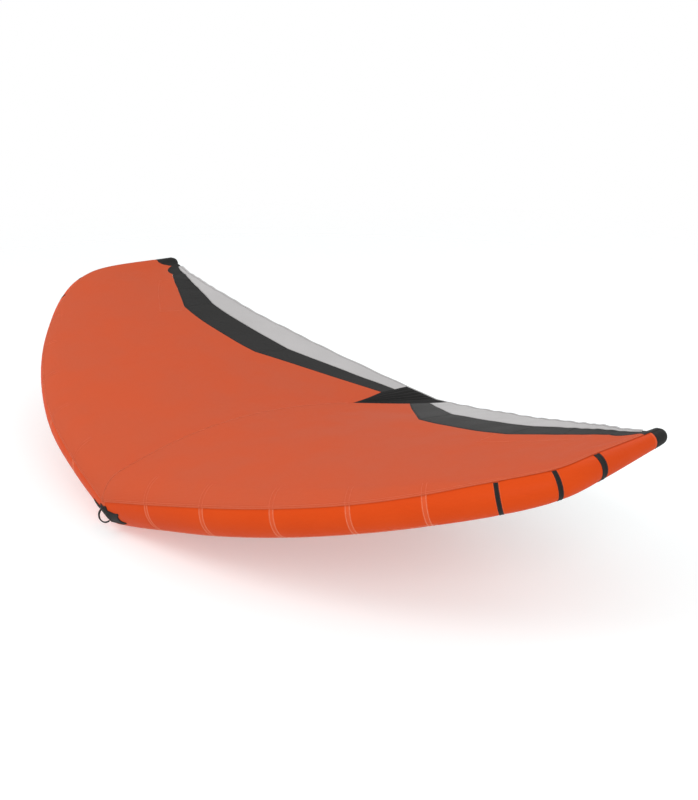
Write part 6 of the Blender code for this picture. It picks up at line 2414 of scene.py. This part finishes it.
@dataclass
class Inflation:
    """What fills the bladders: valve with screw cap, the hose between the bladders, and its pinch clamp."""

    form: WingForm
    strut: Strut
    seats: Seats
    bench: Bench
    flange_radius: float = 0.030
    flange_thickness: float = 0.0025
    neck_radius: float = 0.0195
    bore_radius: float = 0.013
    neck_depth: float = 0.010
    collar_height: float = 0.006
    cap_radius: float = 0.023
    cap_thickness: float = 0.004
    plug_depth: float = 0.005
    grip_size: tuple[float, float, float] = (0.036, 0.005, 0.007)
    fit_gap: float = 0.0003
    port_radius: float = 0.019
    port_thickness: float = 0.002
    port_neck: float = 0.010
    port_depth: float = 0.008
    port_bore: float = 0.0055
    hose_radius: float = 0.0075
    hose_length: float = 0.206
    hose_corners: tuple[tuple[float, float, float], ...] = (
        (0.1588, 0.1578, -0.001), (0.1589, 0.1635, -0.0027), (0.1598, 0.1787, -0.007),
        (0.1613, 0.1915, -0.0099), (0.1628, 0.203, -0.0117), (0.1636, 0.2147, -0.0123),
        (0.1632, 0.2276, -0.012), (0.1608, 0.243, -0.0108), (0.152, 0.2859, -0.0069),
        (0.1482, 0.2999, -0.0054), (0.1433, 0.3086, -0.0043), (0.1367, 0.3133, -0.0037),
        (0.1278, 0.315, -0.0036), (0.116, 0.3152, -0.0042), (0.1006, 0.315, -0.0055), (0.0946, 0.315, -0.0062))
    straight_part: int = 7
    clamp_length: float = 0.030
    clamp_wall: float = 0.0024
    cheek_height: float = 0.023
    lever_thickness: float = 0.004
    rib_pitch: float = 0.0042
    ridge_pitch: float = 0.0026

    def make_valve(self) -> None:
        """Makes the valve's body and the screw cap on it."""
        seat = self.seats.on_sleeve(self.seats.valve_at)
        top = self.flange_thickness + self.collar_height
        profile = rounded(((self.bore_radius, -self.neck_depth, 0.0006),
                           (self.neck_radius, -self.neck_depth, 0.0008), (self.neck_radius, 0, 0),
                           (self.flange_radius, 0, 0.0004),
                           (self.flange_radius, self.flange_thickness, 0.0011),
                           (self.cap_radius, self.flange_thickness, 0.0006), (self.cap_radius, top, 0.0008),
                           (self.bore_radius, top, 0.0006)))
        self.bench.put("air_valve", to_mesh(turned(profile, 64), "air_valve", seat), ("moulded_black",),
                       Slot.PLASTIC, stands_for=("filling_valve",))
        plug, low = self.bore_radius - self.fit_gap, top + self.fit_gap
        high = low + self.cap_thickness
        profile = rounded(((0, low - self.plug_depth, 0), (plug, low - self.plug_depth, 0.0006), (plug, low, 0),
                           (self.cap_radius, low, 0.0005), (self.cap_radius, high, 0.0014),
                           (0.0165, high, 0.0006), (0.0155, high - 0.0009, 0.0006), (0, high - 0.0009, 0)))
        cap = to_mesh(turned(profile, 64), "air_valve_cap", seat)
        knurls = self.bench.studs.ring("cap_knurls", self.bench.wardrobe["moulded_grey"], count=40,
                                       ring_radius=self.cap_radius - 0.0001, stud_radius=0.00045,
                                       stud_length=self.cap_thickness - 0.0014,
                                       height=(low + high) / 2 - 0.0003)
        knurls.transform(seat)
        bar = extruded(round_box(self.grip_size[0], self.grip_size[1], 0.0024), self.grip_size[2] + 0.0012)
        bmesh.ops.rotate(bar, verts=bar.verts[:], cent=(0, 0, 0), matrix=Matrix.Rotation(-math.pi / 2, 3, "X"))
        bevelled(bar, 0.0009, angle=60)
        bmesh.ops.translate(bar, verts=bar.verts[:], vec=(0, 0, high + (self.grip_size[2] - 0.0012) / 2))
        self.bench.put("air_valve_cap", with_added(cap, knurls, to_mesh(bar, "cap_grip", seat)),
                       ("moulded_grey",), Slot.PLASTIC, Body.SCREW_CAP, ("valve_cap",))

    def make_ports(self) -> None:
        """Makes the two ports that the hose joins."""
        profile = rounded(((self.port_bore, -self.port_depth, 0.0004),
                           (self.port_neck, -self.port_depth, 0.0006), (self.port_neck, 0, 0),
                           (self.port_radius, 0, 0.0004),
                           (self.port_radius, self.port_thickness, 0.0009),
                           (self.port_bore, self.port_thickness, 0.0003)))
        for word, seat in (("leading_edge", self.seats.on_sleeve(self.seats.port_at)),
                           ("strut", self.strut.seat())):
            self.bench.put(f"hose_socket_{word}", to_mesh(turned(profile, 48), "hose_socket", seat),
                           ("moulded_black",), Slot.PLASTIC, stands_for=(f"hose_port_{word}",))

    def hose_line(self) -> list[Vector]:
        """The hose's middle line, rounded between its corners and straight inside the clamp."""
        corners = [Vector(c) for c in self.hose_corners]
        line = []
        for i, (a, b) in enumerate(zip(corners, corners[1:])):
            before = corners[i - 1] if i else a * 2 - b
            after = corners[i + 2] if i + 2 < len(corners) else b * 2 - a
            steps = 10 if i == self.straight_part else 4
            for k in range(steps):
                u = k / steps
                if i == self.straight_part:
                    line.append(a.lerp(b, u))
                    continue
                pull = (b - a).length
                start = (b - before).normalized() * pull
                end = (after - a).normalized() * pull
                if i == self.straight_part - 1:
                    end = (after - b).normalized() * pull
                if i == self.straight_part + 1:
                    start = (a - before).normalized() * pull
                line.append(cubic(a, start, b, end, u))
        return [*line, corners[-1]]

    def make_hose(self) -> None:
        line = self.hose_line()
        size = [self.hose_radius * 2] * len(line)
        mesh = Solid(strap(line, size, size, UP, sides=24, squareness=2.0)).mesh("hose_between_bladders")
        made = self.bench.put("hose_between_bladders", mesh, ("hose_rubber",), Slot.HOSE,
                              stands_for=("filling_hose",))
        path = [tuple(p + SHIFT) for p in line]
        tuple(path[0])

    def clamp_frame(self) -> Matrix:
        """The clamp's place: X along the hose and Z across it."""
        first, second = (Vector(self.hose_corners[self.straight_part + i]) for i in (0, 1))
        run = (second - first).normalized()
        side = UP.cross(run).normalized()
        return framed((first + second) / 2, run, side, run.cross(side))

    def make_clamp(self) -> None:
        """Makes the clamp's channel and the lever that pinches the hose."""
        place, inner = self.clamp_frame(), self.hose_radius + self.fit_gap
        outer = inner + self.clamp_wall
        low, high = -outer, self.cheek_height - outer
        channel = extruded(((-outer, low), (outer, low), (outer, high), (inner, high), (inner, -inner),
                            (-inner, -inner), (-inner, high), (-outer, high)), self.clamp_length)
        bmesh.ops.rotate(channel, verts=channel.verts[:], cent=(0, 0, 0),
                         matrix=Matrix.Rotation(math.pi / 2, 3, "Z"))
        body = to_mesh(bevelled(channel, 0.0006), "pinch_clamp", place)
        ribs = [raised_bar((0.0011, 0.0008, self.cheek_height * 0.55),
                           ((i - 2) * self.rib_pitch, side * (outer + 0.0001), (low + high) / 2), place)
                for side in (-1, 1) for i in range(5)]
        self.bench.put("pinch_clamp", with_added(body, *ribs), ("moulded_black",), Slot.PLASTIC,
                       stands_for=("hose_clamp",))
        half = self.lever_thickness / 2
        pivot = place @ Matrix.Translation((-self.clamp_length / 2 + half, 0, inner + half))
        turns = [math.pi / 2 + math.pi * i / 10 for i in range(11)]
        outline = [(half * math.cos(a), half * math.sin(a)) for a in turns]
        outline += [(self.clamp_length - half, -half), (self.clamp_length + half, half)]
        lever = bevelled(extruded(outline, 2 * (inner - self.fit_gap)), 0.0005, angle=35)
        ridges = [raised_bar((0.0012, inner * 1.5, 0.0008),
                             (self.clamp_length - 0.002 - i * self.ridge_pitch, 0, half + 0.0001), pivot)
                  for i in range(4)]
        self.bench.put("pinch_clamp_lever", with_added(to_mesh(lever, "pinch_clamp_lever", pivot), *ridges),
                       ("moulded_grey",), Slot.PLASTIC, Body.PINCH_LEVER, ("clamp_lever",))


# The studio


@dataclass
class Studio:
    """A pale floor, soft light and the camera at the photograph's angle."""

    azimuth: float = 0.8664
    elevation: float = 0.3555
    roll: float = 0.0105
    distance: float = 5.3407
    across: float = -0.28
    raised: float = -0.0212
    lens: float = 56.0
    floor_size: float = 40.0
    fade: Pair = (2.2, 6.5)
    floor_held: float = 0.4
    floor_glow: float = 0.36
    floor_height: float = -0.0006
    from_above: float = 0.70
    from_below: float = 1.05

    def make_floor(self) -> None:
        """Makes the floor, which keeps the wing's soft shadow."""
        half = self.floor_size / 2
        mesh = bpy.data.meshes.new("studio_floor")
        corners = ((-half, -half), (half, -half), (half, half), (-half, half))
        mesh.from_pydata([(x, y, self.floor_height) for x, y in corners], [], [(0, 1, 2, 3)])
        made, kit, inputs = material("studio_floor")
        place = kit.add("ShaderNodeTexCoord").outputs["Object"]
        away = kit.add("ShaderNodeVectorMath", {0: place}, operation="LENGTH").outputs["Value"]
        below = kit.add("ShaderNodeNewGeometry").outputs["Backfacing"]
        kept = kit.math("SUBTRACT", 1.0, kit.math("MAXIMUM", below, kit.ramp(away, self.fade[0], self.fade[1])))
        seen = kit.add("ShaderNodeLightPath").outputs["Is Camera Ray"]
        held = kit.math("MULTIPLY_ADD", seen, 1 - self.floor_held, self.floor_held)
        kit.fill(inputs, {
            "Base Color": kit.blend(kit.noise(place, 0.4), (0.715, 0.755, 0.76), (0.73, 0.77, 0.775)),
            "Alpha": kit.math("MULTIPLY", kept, held), "Emission Color": (1.0, 1.0, 1.0, 1.0),
            "Emission Strength": kit.math("MULTIPLY", seen, self.floor_glow),
            "Roughness": 0.9, "Specular IOR Level": 0.0})
        mesh.materials.append(made)
        linked("studio_floor", mesh)

    def make_world(self) -> None:
        """Makes an even sky that is white to the camera."""
        world = bpy.data.worlds.new("studio_world")
        world.use_nodes = True
        world.node_tree.nodes.clear()
        kit = NodeKit(world.node_tree)
        ray = kit.add("ShaderNodeLightPath").outputs["Is Camera Ray"]
        way = kit.add("ShaderNodeTexCoord").outputs["Generated"]
        height = kit.axes(way)["Z"]
        level = kit.math("MULTIPLY_ADD", kit.ramp(height, -0.6, 0.1), self.from_above - self.from_below,
                         self.from_below)
        soft = kit.add("ShaderNodeBackground", {"Color": (1.0, 1.0, 1.0, 1.0), "Strength": level}).outputs[0]
        seen = kit.add("ShaderNodeBackground", {"Color": (1.0, 1.0, 1.0, 1.0), "Strength": 1.0}).outputs[0]
        mixed = kit.add("ShaderNodeMixShader", {0: ray, 1: soft, 2: seen}).outputs[0]
        kit.add("ShaderNodeOutputWorld", {"Surface": mixed})
        bpy.context.scene.world = world

    def make_lights(self) -> None:
        """Hangs three large soft lights."""
        target = Vector((0.0, -0.1, 0.25))
        for name, place, size, power in (("key_light", (-2.6, -4.2, 4.6), 3.6, 120.0),
                                         ("fill_light", (4.6, -2.4, 3.2), 3.2, 70.0),
                                         ("back_light", (0.5, 4.8, 3.6), 3.0, 50.0)):
            data = bpy.data.lights.new(name, "AREA")
            data.shape, data.size, data.energy = "DISK", size, power
            light = linked(name, data)
            light.location = place
            light.rotation_euler = (target - Vector(place)).to_track_quat("-Z", "Y").to_euler()

    def make_camera(self) -> None:
        """Places the camera where the photograph was taken from."""
        az, el = self.azimuth, self.elevation
        back = Vector((math.sin(az) * math.cos(el), -math.cos(az) * math.cos(el), math.sin(el)))
        right = Vector((math.cos(az), math.sin(az), 0.0))
        up = back.cross(right)
        across = right * math.cos(self.roll) + up * math.sin(self.roll)
        above = up * math.cos(self.roll) - right * math.sin(self.roll)
        place = Vector((0, 0.9, 0.2)) - across * self.across - above * self.raised + back * self.distance
        place = Vector((place.x, place.y - 0.1, place.z)) * 1.05 + SHIFT
        data = bpy.data.cameras.new("main_camera")
        data.lens, data.clip_end = self.lens, 300.0
        camera = linked("main_camera", data)
        camera.matrix_world = framed(place, across, above, back)
        bpy.context.scene.camera = camera

    def make(self) -> None:
        """Makes the whole studio."""
        self.make_floor()
        self.make_world()
        self.make_lights()
        self.make_camera()
        bpy.context.scene.view_settings.view_transform = "Standard"


def main() -> None:
    """Builds the wing's looks in order."""
    logging.basicConfig(level=logging.INFO, format="%(message)s")
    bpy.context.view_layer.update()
    form = WingForm()
    bench = Bench(Wardrobe(), SewingTree(), StudTree())
    seats = Seats(form)
    leading_edge = LeadingEdge(form, bench, seats)
    leading_edge.make_panels()
    leading_edge.make_bladder()
    leading_edge.make_bands()
    leading_edge.make_caps()
    leading_edge.sew_joints()
    canopy = Canopy(form, bench)
    canopy.make_panels()
    canopy.make_bands_and_windows()
    canopy.make_centre_patch()
    canopy.make_tip_corners()
    canopy.make_hems()
    canopy.sew_seams()
    strut = Strut(form, bench)
    strut.make_panels()
    strut.make_cap()
    strut.make_bladder()
    strut.make_web()
    strut.sew_seams()
    for word, body, place, length in (("front", Body.FRONT_HANDLE, 0.2345, 0.362),
                                      ("rear", Body.REAR_HANDLE, 0.5785, 0.397)):
        Handle(strut, bench, word, body, place, length).make()
    nose = Nose(form, bench)
    nose.make_patch()
    nose.make_loop()
    inflation = Inflation(form, strut, seats, bench)
    inflation.make_valve()
    inflation.make_ports()
    inflation.make_hose()
    inflation.make_clamp()
    Studio().make()
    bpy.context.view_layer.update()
    LOG.info("%d pieces", bench.pieces)


if __name__ == "__main__":
    main()
